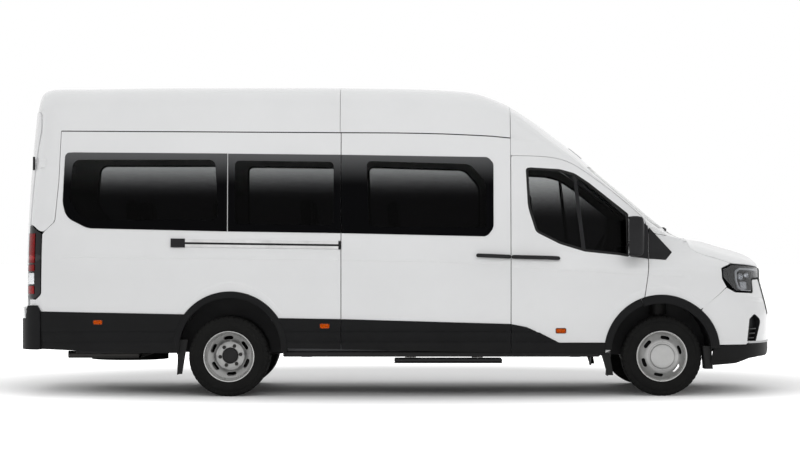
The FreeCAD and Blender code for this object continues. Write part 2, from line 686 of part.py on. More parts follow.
def build_wheels(out):
    """Front wheels on knuckles, twin rear wheels on the rear axle."""
    for side, name in ((LEFT, "left"), (RIGHT, "right")):
        s = side
        y = s * FRONT_WHEEL_Y
        face = y + s * DISC_OFFSET
        body, bore = hub(FRONT_AXLE_X, y + s * 2, face + s * 26, face - s * 30)
        wheel = fuse(rim(FRONT_AXLE_X, y, s) + [body]).cut(bore)
        out[f"front_{name}_wheel"] = wheel
        out[f"front_{name}_tyre"] = tyre(FRONT_AXLE_X, y).cut(wheel)

        kingpin = rod((FRONT_AXLE_X, s * KINGPIN_Y, 215), (FRONT_AXLE_X, s * KINGPIN_Y, 470), 33)
        spindle = disc(FRONT_AXLE_X, WHEEL_Z, SPINDLE_R, s * KINGPIN_Y, y + s * 45)
        flange = disc(FRONT_AXLE_X, WHEEL_Z, 120, s * 838, s * 850)
        arm = box(FRONT_AXLE_X - 28, FRONT_AXLE_X + 28, s * 660, s * KINGPIN_Y, 420, 465)
        post = box(FRONT_AXLE_X - 28, FRONT_AXLE_X + 28, s * 660, s * 700, 420, 540)
        steer = box(FRONT_AXLE_X - 170, FRONT_AXLE_X, s * 700, s * 730, 300, 330)
        steer_root = box(FRONT_AXLE_X - 30, FRONT_AXLE_X + 20, s * 700, s * KINGPIN_Y, 300, 330)
        out[f"{name}_knuckle"] = fuse([kingpin, spindle, flange, arm, post, steer, steer_root])

        outer, inner = s * REAR_OUTER_Y, s * REAR_INNER_Y
        body, bore = hub(REAR_AXLE_X, s * 700, s * 868, s * 812, 72)
        wheels = fuse(rim(REAR_AXLE_X, outer, -s) + rim(REAR_AXLE_X, inner, s) + [body]).cut(bore)
        out[f"rear_{name}_wheels"] = wheels
        out[f"rear_{name}_tyres"] = Part.makeCompound([tyre(REAR_AXLE_X, y).cut(wheels) for y in (outer, inner)])

    tube = disc(REAR_AXLE_X, WHEEL_Z, 50, -690, 690)
    ball = Part.makeSphere(165, Vector(REAR_AXLE_X, 0, WHEEL_Z))
    stubs = disc(REAR_AXLE_X, WHEEL_Z, SPINDLE_R, -780, 780)
    nose = rod((REAR_AXLE_X + 100, 0, WHEEL_Z), (REAR_AXLE_X + 260, 0, WHEEL_Z), 60)
    drums = [disc(REAR_AXLE_X, WHEEL_Z, 150, s * 640, s * 692) for s in (LEFT, RIGHT)]
    out["rear_axle"] = fuse([tube, ball, stubs, nose] + drums)

    springs = []
    for s in (LEFT, RIGHT):
        leaf = [(-2230, 455), (REAR_AXLE_X, 398), (-660, 455), (-660, 478), (REAR_AXLE_X, 424), (-2230, 478)]
        springs.append(prism(leaf, "xz", s * 500 - 35, s * 500 + 35))
    out["leaf_springs"] = Part.makeCompound([p.cut(out["rear_axle"]) for p in springs])


def build_underside(out):
    """Engine block, propeller shaft, fuel tank, exhaust, spare wheel, mud flaps."""
    out["engine"] = box(2330, 2900, -290, 290, 450, 1030)
    shaft = [rod((-1180, 0, 352), (1510, 0, 541), 38), rod((1500, 0, 540), (2325, 0, 555), 95)]
    out["propeller_shaft"] = fuse(shaft)
    tank = [(-570, 400, 40), (-570, 630, 20), (370, 630, 20), (370, 400, 40)]
    out["fuel_tank"] = prism(tank, "xz", 520, 850)
    runs = [(-2880, -700, 350), (-2260, -700, 350), (-2000, -330, 435), (2000, -330, 435)]
    can = rod((-300, -330, 435), (500, -330, 435), 88)
    out["exhaust"] = fuse([bent_pipe(runs, 32), can])
    spare = turned([(345, 120), (345, TYRE_R), (495, TYRE_R), (495, 120)], 0, 0)
    spare.rotate(Vector(0, 0, 0), X_AXIS, 90)
    spare.translate(Vector(-2420, 0, -65))
    out["spare_wheel"] = spare
    flaps = []
    for s in (LEFT, RIGHT):
        flaps.append(box(-1898, -1886, s * 640, s * 930, 190, 470))
        flaps.append(box(1832, 1844, s * 780, s * 975, 180, 366))
    out["mud_flaps"] = Part.makeCompound(flaps)
    out["side_step"] = prism([(-20, -998, 8), (914, -998, 8), (914, -760, 8), (-20, -760, 8)], "xy", 286, 328)


# ---------------------------------------------------------------- cabin
def seat(x, y, width=SEAT_WIDTH, tall=640):
    """One seat: cushion, leaning back and steel pedestal. x is where the back meets the cushion."""
    base, top = FLOOR_Z + 300, FLOOR_Z + 405
    cushion = [(x + 460, base, 30), (x + 460, top + 20, 40), (x + 60, top), (x + 40, base)]
    back = [(x + 40, base), (x + 60, top), (x - 60, top + tall, 40), (x - 150, top + tall - 10, 40), (x - 60, base, 30)]
    near, far = y - width / 2, y + width / 2
    pedestal = box(x + 60, x + 330, near + 60, far - 60, FLOOR_Z, base)
    return [prism(cushion, "xz", near, far), prism(back, "xz", near, far), pedestal]


def build_cabin(out):
    """Dashboard, steering wheel, cab seats and passenger seats."""
    dash = [(2010, 1010, 60), (2040, 1260, 60), (2310, 1330, 60), (2322, 1090)]
    out["dashboard"] = prism(dash, "xz", -800, 800)
    centre = Vector(1840, 430, 1225)
    axis = Vector(-0.88, 0, 0.47)
    ring = Part.makeTorus(190, 16, centre, axis)
    boss = Part.makeCylinder(60, 40, centre - axis * 30, axis)
    spoke = Part.makeBox(20, 380, 34, Vector(-10, -190, -17))
    spoke.rotate(Vector(0, 0, 0), Y_AXIS, 28)
    spoke.translate(centre)
    column = Part.makeCylinder(38, 190, centre - axis * 215, axis)
    out["steering_wheel"] = fuse([ring, boss, spoke, column]).cut(out["dashboard"])

    cab = []
    for y, width in ((430, 500), (-230, 420), (-660, 420)):
        cab += seat(1230, y, width, 700)
    out["cab_seats"] = Part.makeCompound(cab)

    seats = []
    for x in SEAT_ROWS:
        for y in (250, 690):
            seats += seat(x, y)
    for x in SEAT_ROWS[1:]:
        seats += seat(x, -690)
    for y in (-675, -225, 225, 675):
        seats += seat(LAST_ROW_X, y)
    housing_room = disc(REAR_AXLE_X, REAR_ARCH_Z, REAR_ARCH_R + 15, 550, 1000)
    room = [housing_room, mirrored(housing_room)]
    out["passenger_seats"] = Part.makeCompound([solid.cut(room) for solid in seats])


# ---------------------------------------------------------------- write the pieces
def main():
    """Build every node and write one STEP file for each."""
    outer = envelope(0)
    wall = outer.cut(envelope(WALL))
    skin = outer.cut(envelope(GLASS))
    out = {}
    front_arch = build_body(out, wall, skin)
    build_front(out, wall, front_arch)
    build_doors(out, wall, skin, front_arch)
    build_tail(out)
    build_floor(out)
    build_frame(out)
    build_wheels(out)
    build_underside(out)
    build_cabin(out)
    os.makedirs("parts", exist_ok=True)
    for name in os.listdir("parts"):
        os.remove(os.path.join("parts", name))
    for name, shape in out.items():
        solids = [s for s in shape.Solids if s.Volume > 1.0]
        result = solids[0] if len(solids) == 1 else Part.makeCompound(solids)
        b = result.BoundBox
        print(f"{name:22s} solids {len(solids)} valid {result.isValid()} vol {result.Volume / 1e9:.4f} m3"
              f"  x {b.XMin:.0f}..{b.XMax:.0f} y {b.YMin:.0f}..{b.YMax:.0f} z {b.ZMin:.0f}..{b.ZMax:.0f}")
        result.exportStep(f"parts/{name}.step")
    print(len(out), "nodes")


main()
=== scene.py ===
# %% [markdown]
# # A high-roof minibus, piece by piece
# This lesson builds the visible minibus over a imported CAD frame. The frame says where everything is and what
# turns on what. Every cell makes one piece or one finish, and says why it is made that way.

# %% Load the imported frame
import itertools
import json
from math import asin, atan2, ceil, copysign, cos, dist, exp, floor, hypot, pi, radians, sin, sqrt, tan

import bmesh
import bpy
import numpy as np
from mathutils import Matrix, Vector
from mathutils.geometry import delaunay_2d_cdt

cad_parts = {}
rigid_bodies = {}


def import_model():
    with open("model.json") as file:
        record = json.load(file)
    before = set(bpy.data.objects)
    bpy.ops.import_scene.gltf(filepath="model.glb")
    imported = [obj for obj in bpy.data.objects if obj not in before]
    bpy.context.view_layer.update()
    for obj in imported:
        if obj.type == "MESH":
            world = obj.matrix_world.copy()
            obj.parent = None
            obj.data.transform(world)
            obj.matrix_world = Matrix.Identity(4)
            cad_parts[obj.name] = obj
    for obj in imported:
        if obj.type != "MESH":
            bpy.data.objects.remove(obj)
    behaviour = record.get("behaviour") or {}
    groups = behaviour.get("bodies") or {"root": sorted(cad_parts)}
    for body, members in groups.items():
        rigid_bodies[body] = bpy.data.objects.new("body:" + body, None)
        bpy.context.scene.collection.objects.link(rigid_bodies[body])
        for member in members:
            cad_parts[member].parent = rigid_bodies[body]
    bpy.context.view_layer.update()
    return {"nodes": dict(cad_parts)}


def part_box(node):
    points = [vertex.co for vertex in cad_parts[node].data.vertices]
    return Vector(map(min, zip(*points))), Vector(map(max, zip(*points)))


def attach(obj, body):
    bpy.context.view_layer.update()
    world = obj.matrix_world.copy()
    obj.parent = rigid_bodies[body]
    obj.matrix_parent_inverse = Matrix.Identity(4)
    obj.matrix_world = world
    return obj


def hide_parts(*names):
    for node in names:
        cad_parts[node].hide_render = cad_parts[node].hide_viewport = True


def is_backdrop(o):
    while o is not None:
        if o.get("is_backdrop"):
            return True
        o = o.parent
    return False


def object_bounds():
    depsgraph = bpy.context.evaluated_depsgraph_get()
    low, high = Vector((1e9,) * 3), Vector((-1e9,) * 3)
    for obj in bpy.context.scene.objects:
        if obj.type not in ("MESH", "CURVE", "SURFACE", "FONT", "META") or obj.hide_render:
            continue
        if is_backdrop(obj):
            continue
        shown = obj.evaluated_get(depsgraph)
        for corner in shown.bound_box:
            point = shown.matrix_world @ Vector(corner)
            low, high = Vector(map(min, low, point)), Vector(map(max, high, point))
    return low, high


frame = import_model()

# %% [markdown]
# ## Small measuring helpers
# Sizes are written in millimetres, as on a body builder's drawing, and turned to metres when a mesh is made.
# `ease` is the smooth step used to blend one shape into another without a crease.

# %% Measuring helpers
MM = 0.001


def ease(low, high, value):
    """0 below low, 1 above high, and a smooth step between."""
    t = max(0.0, min(1.0, (value - low) / (high - low)))
    return t * t * (3 - 2 * t)


def mix(a, b, t):
    return a + (b - a) * t


def polar(radius, angle, centre=(0, 0)):
    return centre[0] + radius * cos(angle), centre[1] + radius * sin(angle)


def smooth_line(points):
    """A function that runs smoothly through (input, output) points."""
    xs = [p[0] for p in points]
    ys = [p[1] for p in points]
    n = len(xs)
    steps = [(ys[i + 1] - ys[i]) / (xs[i + 1] - xs[i]) for i in range(n - 1)]
    slopes = [steps[0]]
    for i in range(1, n - 1):
        a, b = steps[i - 1], steps[i]
        slopes.append(0.0 if a * b < 0 else (a + b) / 2)
    slopes.append(steps[-1])

    def value(x):
        i = max(0, min(n - 2, int(np.searchsorted(xs, x)) - 1))
        h = xs[i + 1] - xs[i]
        t = (x - xs[i]) / h
        if t < 0:
            return ys[0] + slopes[0] * (x - xs[0])
        if t > 1:
            return ys[-1] + slopes[-1] * (x - xs[-1])
        a = (1 + 2 * t) * (1 - t) ** 2
        b = t * (1 - t) ** 2
        c = t * t * (3 - 2 * t)
        d = t * t * (t - 1)
        return a * ys[i] + b * h * slopes[i] + c * ys[i + 1] + d * h * slopes[i + 1]

    return value


def rounded(points, closed=True, pitch=9.0):
    """Straight runs with rounded corners. A point is (u, v) or (u, v, radius)."""
    n = len(points)
    out = []
    for i, p in enumerate(points):
        u, v = p[0], p[1]
        r = p[2] if len(p) > 2 else 0
        if not r or (not closed and i in (0, n - 1)):
            out.append((u, v))
            continue
        before, after = points[i - 1], points[(i + 1) % n]
        a = Vector((before[0] - u, before[1] - v))
        b = Vector((after[0] - u, after[1] - v))
        room = min(a.length, b.length) * 0.5
        a.normalize()
        b.normalize()
        half = a.angle(b) / 2
        t = min(r / tan(half), room)
        r = t * tan(half)
        centre = Vector((u, v)) + (a + b).normalized() * (r / sin(half))
        start = Vector((u, v)) + a * t - centre
        sweep = pi - 2 * half
        turn = -1 if a.cross(b) > 0 else 1
        count = max(2, int(r * sweep / pitch) + 2)
        for k in range(count + 1):
            angle = turn * sweep * k / count
            c, s = cos(angle), sin(angle)
            out.append((centre.x + start.x * c - start.y * s, centre.y + start.x * s + start.y * c))
    return out


def divided(line, step, closed=True):
    """The same line with no run longer than step."""
    out = []
    last = len(line) if closed else len(line) - 1
    for i in range(last):
        a, b = line[i], line[(i + 1) % len(line)]
        d = dist(a, b)
        if d < 0.05:
            continue
        count = max(1, ceil(d / step))
        for k in range(count):
            out.append((mix(a[0], b[0], k / count), mix(a[1], b[1], k / count)))
    if not closed:
        out.append(line[-1])
    return out


print("a rounded square has", len(rounded([(0, 0, 20), (100, 0, 20), (100, 100, 20), (0, 100, 20)])),
      "points")

# %% [markdown]
# ## Mesh makers
# A pressed panel is a thin skin with a clean outline, so most body pieces come from one maker, `skin`. It
# draws the outline and its holes flat, fills them with even triangles, bends the result onto a smooth surface
# and gives it thickness. The shading normals come from the surface itself, so the paint reflects like one
# pressed sheet, whatever the triangles do. `patch` does the same for a piece that is a simple grid, `strip`
# follows a line on a surface, `tube` sweeps a round section along a path, and `lathe` turns a profile round
# an axle.

# %% Mesh makers
def new_object(name, verts, faces, normals=None, indices=None, materials=(), smooth=True):
    """An object from millimetre points, with materials and maybe one shading normal for each face corner."""
    mesh = bpy.data.meshes.new(name)
    mesh.from_pydata([tuple(c * MM for c in v) for v in verts], [], faces)
    for m in materials:
        mesh.materials.append(m)
    if indices:
        mesh.polygons.foreach_set("material_index", indices)
    mesh.polygons.foreach_set("use_smooth", [smooth] * len(mesh.polygons))
    mesh.update()
    if normals:
        mesh.normals_split_custom_set([tuple(n) for n in normals])
    obj = bpy.data.objects.new(name, mesh)
    bpy.context.scene.collection.objects.link(obj)
    return obj


def inside(points, loop):
    """Which of many points lie inside a closed loop."""
    px, py = points[:, 0], points[:, 1]
    hit = np.zeros(len(points), bool)
    x0, y0 = loop[-1]
    for x1, y1 in loop:
        cross = (y1 > py) != (y0 > py)
        if y1 != y0:
            at = (x0 - x1) * (py - y1) / (y0 - y1) + x1
            hit ^= cross & (px < at)
        x0, y0 = x1, y1
    return hit


def signed_area(loop):
    return sum(loop[i - 1][0] * loop[i][1] - loop[i][0] * loop[i - 1][1] for i in range(len(loop)))


def shifted(loop, by):
    """A closed loop moved to its inner side by a distance; a negative one moves it outwards."""
    n = len(loop)
    sign = 1 if signed_area(loop) > 0 else -1
    out = []
    for i in range(n):
        a, b, c = Vector(loop[i - 1]), Vector(loop[i]), Vector(loop[(i + 1) % n])
        d0, d1 = (b - a).normalized(), (c - b).normalized()
        normal = Vector((-(d0.y + d1.y), d0.x + d1.x))
        if normal.length < 1e-6:
            normal = Vector((-d0.y, d0.x))
        normal.normalize()
        slant = max(0.45, normal.dot(Vector((-d0.y, d0.x))))
        p = b + normal * (sign * by / slant)
        out.append((p.x, p.y))
    return out


def frame_at(surface, u, v, flip):
    """A point on a surface and the surface's outward normal there."""
    p = Vector(surface(u, v))
    d = 2.0
    du = Vector(surface(u + d, v)) - Vector(surface(u - d, v))
    dv = Vector(surface(u, v + d)) - Vector(surface(u, v - d))
    n = du.cross(dv)
    n.normalize()
    return p, -n if flip else n


def skin(name, outline, surface, thickness, materials, holes=(), lift=0.0, cell=45.0, lines=(), edge=2.2,
         flip=False, zone=None, step=22.0):
    """A closed panel bent onto a surface. zone is an inner outline whose faces take the last material."""
    loops = [divided(outline, step)] + [divided(h, step) for h in holes]
    inner = [shifted(loops[0], edge)] + [shifted(h, -edge) for h in loops[1:]]
    flat, edges = [], []
    for loop in inner + ([divided(zone, step)] if zone else []):
        base = len(flat)
        flat += loop
        edges += [(base + i, base + (i + 1) % len(loop)) for i in range(len(loop))]

    def in_panel(spots):
        keep = inside(spots, inner[0])
        for loop in inner[1:]:
            keep &= ~inside(spots, loop)
        return keep

    fixed = len(flat)
    rim = np.array(flat)
    low, high = rim.min(0), rim.max(0)
    us = np.arange(ceil(low[0] / cell), floor(high[0] / cell) + 1) * cell
    vs = np.arange(ceil(low[1] / cell), floor(high[1] / cell) + 1) * cell
    grid = [(u, v) for u in us for v in vs]
    for line in lines:
        grid += line
    if grid:
        grid = np.array(grid)
        grid = grid[in_panel(grid)]
        far = np.ones(len(grid), bool)
        for start in range(0, fixed, 400):
            part = rim[start:start + 400]
            d = np.hypot(grid[:, None, 0] - part[None, :, 0], grid[:, None, 1] - part[None, :, 1]).min(1)
            far &= d > min(cell, step) * 0.4
        flat += [tuple(p) for p in grid[far]]
    result = delaunay_2d_cdt([Vector(p) for p in flat], edges, [], 0, 1e-3)
    points, faces, origins = result[0], result[2], result[3]
    where = {}
    for k, sources in enumerate(origins):
        for s in sources:
            where[s] = k
    centres = np.array([[sum(points[i].x for i in f) / len(f),
                         sum(points[i].y for i in f) / len(f)] for f in faces])
    keep = in_panel(centres)
    in_zone = inside(centres, zone) if zone else np.zeros(len(faces), bool)
    faces = [(list(f), z) for f, k, z in zip(faces, keep, in_zone) if k]
    used = sorted({i for f, _ in faces for i in f})
    index = {k: i for i, k in enumerate(used)}
    spots = [frame_at(surface, points[k].x, points[k].y, flip) for k in used]
    count = len(spots)
    verts = [p + n * lift for p, n in spots] + [p + n * (lift - thickness) for p, n in spots]
    out_faces, out_normals, out_index = [], [], []
    turn = (lambda f: f[::-1]) if flip else (lambda f: f)
    last = len(materials) - 1
    sides = 1 if last > 0 else 0
    back = 2 if last > 1 else sides
    for f, z in faces:
        a = turn([index[i] for i in f])
        out_faces.append(a)
        out_normals += [spots[i][1] for i in a]
        out_index.append(last if z else 0)
        b = [i + count for i in a[::-1]]
        out_faces.append(b)
        out_normals += [-spots[i - count][1] for i in b]
        out_index.append(last if z else back)
    offset = 0
    for k, loop in enumerate(loops):
        n = len(loop)
        ring = [index[where[offset + i]] for i in range(n)]
        offset += n
        base = len(verts)
        outs = []
        edge_spots = [frame_at(surface, u, v, flip) for u, v in loop]
        for (p, normal), at_ring in zip(edge_spots, ring):
            away = p - spots[at_ring][0]
            away -= normal * away.dot(normal)
            outs.append((away.normalized() if away.length > 1e-6 else normal.orthogonal(), normal))
        for depth in (min(edge * 0.7, thickness * 0.3), thickness):
            verts += [p + normal * (lift - depth) for p, normal in edge_spots]
        ccw = (signed_area(loop) > 0) == (k == 0)
        for i in range(n):
            j = (i + 1) % n
            quads = [
                ([ring[i], ring[j], base + j, base + i], "bevel"),
                ([base + i, base + j, base + n + j, base + n + i], "side"),
                ([base + n + i, base + n + j, ring[j] + count, ring[i] + count], "back"),
            ]
            for quad, kind in quads:
                if len({*quad}) < 4:
                    continue
                q = quad[::-1] if ccw else quad
                if flip:
                    q = q[::-1]
                out_faces.append(q)
                for corner in q:
                    e = i if corner in (quad[0], quad[3]) else j
                    away, normal = outs[e]
                    if kind == "bevel":
                        out_normals.append(normal if corner in ring
                                           else (normal * 0.6 + away * 0.8).normalized())
                    elif kind == "side":
                        out_normals.append(away)
                    else:
                        out_normals.append(-normal)
                out_index.append({"bevel": 0, "side": back if k else sides, "back": back}[kind])
    return new_object(name, verts, out_faces, out_normals, out_index, materials)


def patch(name, surface, us, vs, thickness, materials, lift=0.0, flip=False):
    """A closed shell over a simple grid of a surface."""
    spots = [[frame_at(surface, u, v, flip) for v in vs] for u in us]
    nu, nv = len(us), len(vs)
    verts = [p + n * lift for row in spots for p, n in row]
    verts += [p + n * (lift - thickness) for row in spots for p, n in row]
    half = nu * nv
    faces, normals, index = [], [], []
    back = len(materials) - 1

    def add(quad, kind, slot):
        q = quad[::-1] if flip else quad
        faces.append(q)
        for c in q:
            n = spots[(c % half) // nv][(c % half) % nv][1]
            normals.append(n if kind == 1 else (-n if kind == -1 else Vector((0, 0, 0))))
        index.append(slot)

    for i in range(nu - 1):
        for j in range(nv - 1):
            a = [i * nv + j, (i + 1) * nv + j, (i + 1) * nv + j + 1, i * nv + j + 1]
            add(a, 1, 0)
            add([c + half for c in a[::-1]], -1, back)
    border = [(i, 0) for i in range(nu)] + [(nu - 1, j) for j in range(1, nv)]
    border += [(i, nv - 1) for i in range(nu - 2, -1, -1)] + [(0, j) for j in range(nv - 2, 0, -1)]
    for k in range(len(border)):
        a, b = border[k], border[(k + 1) % len(border)]
        p, q = a[0] * nv + a[1], b[0] * nv + b[1]
        add([p, p + half, q + half, q], 0, 0)
    return new_object(name, verts, faces, normals, index, materials)


def bars(name, solids, materials, smooth=False):
    """One object from several (verts, faces) solids. A solid may carry a material index as a third value."""
    verts, faces, index = [], [], []
    for solid in solids:
        base = len(verts)
        verts += list(solid[0])
        faces += [[i + base for i in f] for f in solid[1]]
        index += [solid[2] if len(solid) > 2 else 0] * len(solid[1])
    obj = new_object(name, verts, faces, None, index, materials, smooth)
    shape = bmesh.new()
    shape.from_mesh(obj.data)
    bmesh.ops.recalc_face_normals(shape, faces=shape.faces)
    shape.to_mesh(obj.data)
    shape.free()
    if smooth:
        obj.data.set_sharp_from_angle(angle=radians(38))
    return obj


def ring_faces(rows, around, wrap=False, ends=1):
    """Faces between rows of points that each run round a ring. Unless the rows wrap, both ends are closed."""
    faces = []
    for i in range(rows if wrap else rows - 1):
        here, ahead = i * around, (i + 1) % rows * around
        for k in range(around):
            m = (k + 1) % around
            faces.append([here + k, here + m, ahead + m, ahead + k])
    if not wrap:
        faces.append(list(range(around))[::ends])
        faces.append([(rows - 1) * around + k for k in range(around)][::-ends])
    return faces


def strip(surface, line, low, high, depth, lift, flip=False):
    """Verts and faces of a bar along a line (u, v) of a surface. It runs from low to high beside the line."""
    verts = []
    for u, v in line:
        (a, n), (b, m) = frame_at(surface, u, v + low, flip), frame_at(surface, u, v + high, flip)
        verts += [a + n * lift, b + m * lift, b + m * (lift - depth), a + n * (lift - depth)]
    return verts, ring_faces(len(line), 4)


def tube(path, radius, sides=10, closed=False):
    """Verts and faces of a round bar along a path. radius may be a list, one for each point."""
    path = [Vector(p) for p in path]
    n = len(path)
    radii = radius if isinstance(radius, (list, tuple)) else [radius] * n
    verts, up = [], None
    for i, p in enumerate(path):
        a = path[i - 1] if (closed or i > 0) else p
        b = path[(i + 1) % n] if (closed or i < n - 1) else p
        d = (b - a).normalized()
        if up is None:
            up = d.orthogonal().normalized()
        up = (up - d * up.dot(d)).normalized()
        side = d.cross(up)
        for k in range(sides):
            t = 2 * pi * k / sides
            verts.append(p + (up * cos(t) + side * sin(t)) * radii[i])
    return verts, ring_faces(n, sides, closed, -1)


def lathe(profile, x, z, steps=72):
    """Verts and faces of a (y, radius) profile turned round the axle line at x, z."""
    verts = []
    for i in range(steps):
        a = 2 * pi * i / steps
        c, s = cos(a), sin(a)
        verts += [Vector((x + r * c, y, z + r * s)) for y, r in profile]
    return verts, ring_faces(steps, len(profile), True)


def block(low, high, bevel=2.0):
    """Verts and faces of a block with bevelled edges, so that it catches a thin highlight."""
    (x0, y0, z0), (x1, y1, z1) = low, high
    b = min(bevel, (x1 - x0) * 0.45, (y1 - y0) * 0.45, (z1 - z0) * 0.45)
    verts = []
    for ends in itertools.product((0, 1), repeat=3):
        at = [(high if end else low)[k] for k, end in enumerate(ends)]
        back = [-b if end else b for end in ends]
        verts += [tuple(at[a] + (back[a] if a != k else 0) for a in range(3)) for k in range(3)]
    vid = lambda sx, sy, sz, k: (sx * 4 + sy * 2 + sz) * 3 + k
    faces = []
    for s in (0, 1):
        faces.append([vid(s, 0, 0, 0), vid(s, 1, 0, 0), vid(s, 1, 1, 0), vid(s, 0, 1, 0)][:: 1 if s else -1])
        faces.append([vid(0, s, 0, 1), vid(1, s, 0, 1), vid(1, s, 1, 1), vid(0, s, 1, 1)][:: -1 if s else 1])
        faces.append([vid(0, 0, s, 2), vid(1, 0, s, 2), vid(1, 1, s, 2), vid(0, 1, s, 2)][:: 1 if s else -1])
    for a in (0, 1):
        for b2 in (0, 1):
            flip = 1 if (a + b2) % 2 else -1
            faces.append([vid(a, b2, 0, 0), vid(a, b2, 1, 0), vid(a, b2, 1, 1), vid(a, b2, 0, 1)][::flip])
            faces.append([vid(a, 0, b2, 0), vid(a, 1, b2, 0), vid(a, 1, b2, 2), vid(a, 0, b2, 2)][::-flip])
            faces.append([vid(0, a, b2, 1), vid(1, a, b2, 1), vid(1, a, b2, 2), vid(0, a, b2, 2)][::flip])
    for ends in itertools.product((0, 1), repeat=3):
        faces.append([vid(*ends, k) for k in range(3)][::1 if sum(ends) % 2 else -1])
    return verts, faces


print("mesh makers ready")

# %% [markdown]
# ## Finishes: the shared effects
# Each effect that several finishes use is a node group. `Fine bumps` gives a height for orange peel in paint,
# moulded grain in plastic or the pores of a casting. `Road film` gives a mask for the thin dust that gathers
# low on the body and on the underside. `Worn metal` breaks up a metal's brightness, and `Weave` makes a
# cloth's threads. A group gives out only values that change over the surface.

# %% Node helpers
def node(tree, kind, at=(0, 0), **values):
    n = tree.nodes.new(kind)
    n.location = at
    for key, value in values.items():
        if hasattr(n, key):
            setattr(n, key, value)
        else:
            n.inputs[key].default_value = value
    return n


def wire(tree, *pairs):
    """Join outputs to inputs, given as (output, input) pairs."""
    for source, target in pairs:
        tree.links.new(source, target)


def group(name, inputs, outputs):
    tree = bpy.data.node_groups.new(name, "ShaderNodeTree")
    for label, value in inputs:
        s = tree.interface.new_socket(name=label, in_out="INPUT", socket_type="NodeSocketFloat")
        s.default_value = value
    for label, kind in outputs:
        tree.interface.new_socket(name=label, in_out="OUTPUT", socket_type=kind)
    return tree, tree.nodes.new("NodeGroupInput"), tree.nodes.new("NodeGroupOutput")


def maths(tree, operation, a, b=None, c=None):
    n = tree.nodes.new("ShaderNodeMath")
    n.operation = operation
    for socket, value in zip(n.inputs, (a, b, c)):
        if value is None:
            continue
        if isinstance(value, (int, float)):
            socket.default_value = value
        else:
            tree.links.new(value, socket)
    return n.outputs[0]


FLOAT = "NodeSocketFloat"

# %% Fine bumps
bumps, b_in, b_out = group("Fine bumps", [("Scale", 300.0), ("Sharpness", 0.5)],
                           [("Height", FLOAT), ("Mask", FLOAT)])
coords = node(bumps, "ShaderNodeTexCoord")
small = node(bumps, "ShaderNodeTexNoise", Detail=2.0)
cells = node(bumps, "ShaderNodeTexVoronoi", feature="SMOOTH_F1")
blend = node(bumps, "ShaderNodeMix", data_type="FLOAT")
for texture in (small, cells):
    wire(bumps, (coords.outputs["Object"], texture.inputs["Vector"]),
                (b_in.outputs["Scale"], texture.inputs["Scale"]))
wire(bumps, (b_in.outputs["Sharpness"], blend.inputs[0]), (small.outputs[0], blend.inputs[2]),
            (cells.outputs["Distance"], blend.inputs[3]), (blend.outputs[0], b_out.inputs["Height"]),
            (small.outputs[0], b_out.inputs["Mask"]))
print("group:", bumps.name)

# %% Road film
film, f_in, f_out = group("Road film", [("Top", 0.9), ("Bottom", 0.3), ("Amount", 0.2)], [("Mask", FLOAT)])
coords = node(film, "ShaderNodeTexCoord")
parts = node(film, "ShaderNodeSeparateXYZ")
cloud = node(film, "ShaderNodeTexNoise", Scale=2.6, Detail=5.0, Roughness=0.6)
wire(film, (coords.outputs["Object"], parts.inputs[0]), (coords.outputs["Object"], cloud.inputs["Vector"]))
low = node(film, "ShaderNodeMapRange")
wire(film, (parts.outputs["Z"], low.inputs["Value"]), (f_in.outputs["Top"], low.inputs["From Min"]),
           (f_in.outputs["Bottom"], low.inputs["From Max"]))
patchy = maths(film, "MULTIPLY_ADD", cloud.outputs[0], 0.9, 0.3)
film.links.new(maths(film, "MULTIPLY", maths(film, "MULTIPLY", low.outputs[0], patchy),
                     f_in.outputs["Amount"]), f_out.inputs["Mask"])
print("group:", film.name)

# %% Height fade
# Its only use is to paint glass and its border print lighter towards the top: a painted reflection.
fade, h_in, h_out = group("Height fade", [("Top", 2.1), ("Bottom", 1.6)], [("Mask", FLOAT)])
coords = node(fade, "ShaderNodeTexCoord")
parts = node(fade, "ShaderNodeSeparateXYZ")
drop = node(fade, "ShaderNodeMapRange", interpolation_type="SMOOTHSTEP")
wire(fade, (coords.outputs["Object"], parts.inputs[0]), (parts.outputs["Z"], drop.inputs["Value"]),
           (h_in.outputs["Top"], drop.inputs["From Min"]), (h_in.outputs["Bottom"], drop.inputs["From Max"]),
           (drop.outputs[0], h_out.inputs["Mask"]))
print("group:", fade.name)

# %% Worn metal
worn, w_in, w_out = group("Worn metal", [("Scale", 12.0)], [("Mask", FLOAT), ("Height", FLOAT)])
coords = node(worn, "ShaderNodeTexCoord")
stretch = node(worn, "ShaderNodeMapping")
large = node(worn, "ShaderNodeTexNoise", Detail=6.0, Roughness=0.65)
fine = node(worn, "ShaderNodeTexNoise", Detail=3.0)
wire(worn, (coords.outputs["Object"], stretch.inputs["Vector"]), (stretch.outputs[0], large.inputs["Vector"]),
           (stretch.outputs[0], fine.inputs["Vector"]), (w_in.outputs["Scale"], large.inputs["Scale"]),
           (maths(worn, "MULTIPLY", w_in.outputs["Scale"], 14.0), fine.inputs["Scale"]))
spread = node(worn, "ShaderNodeMapRange", **{"From Min": 0.35, "From Max": 0.7})
wire(worn, (large.outputs[0], spread.inputs["Value"]), (spread.outputs[0], w_out.inputs["Mask"]),
           (fine.outputs[0], w_out.inputs["Height"]))
print("group:", worn.name)

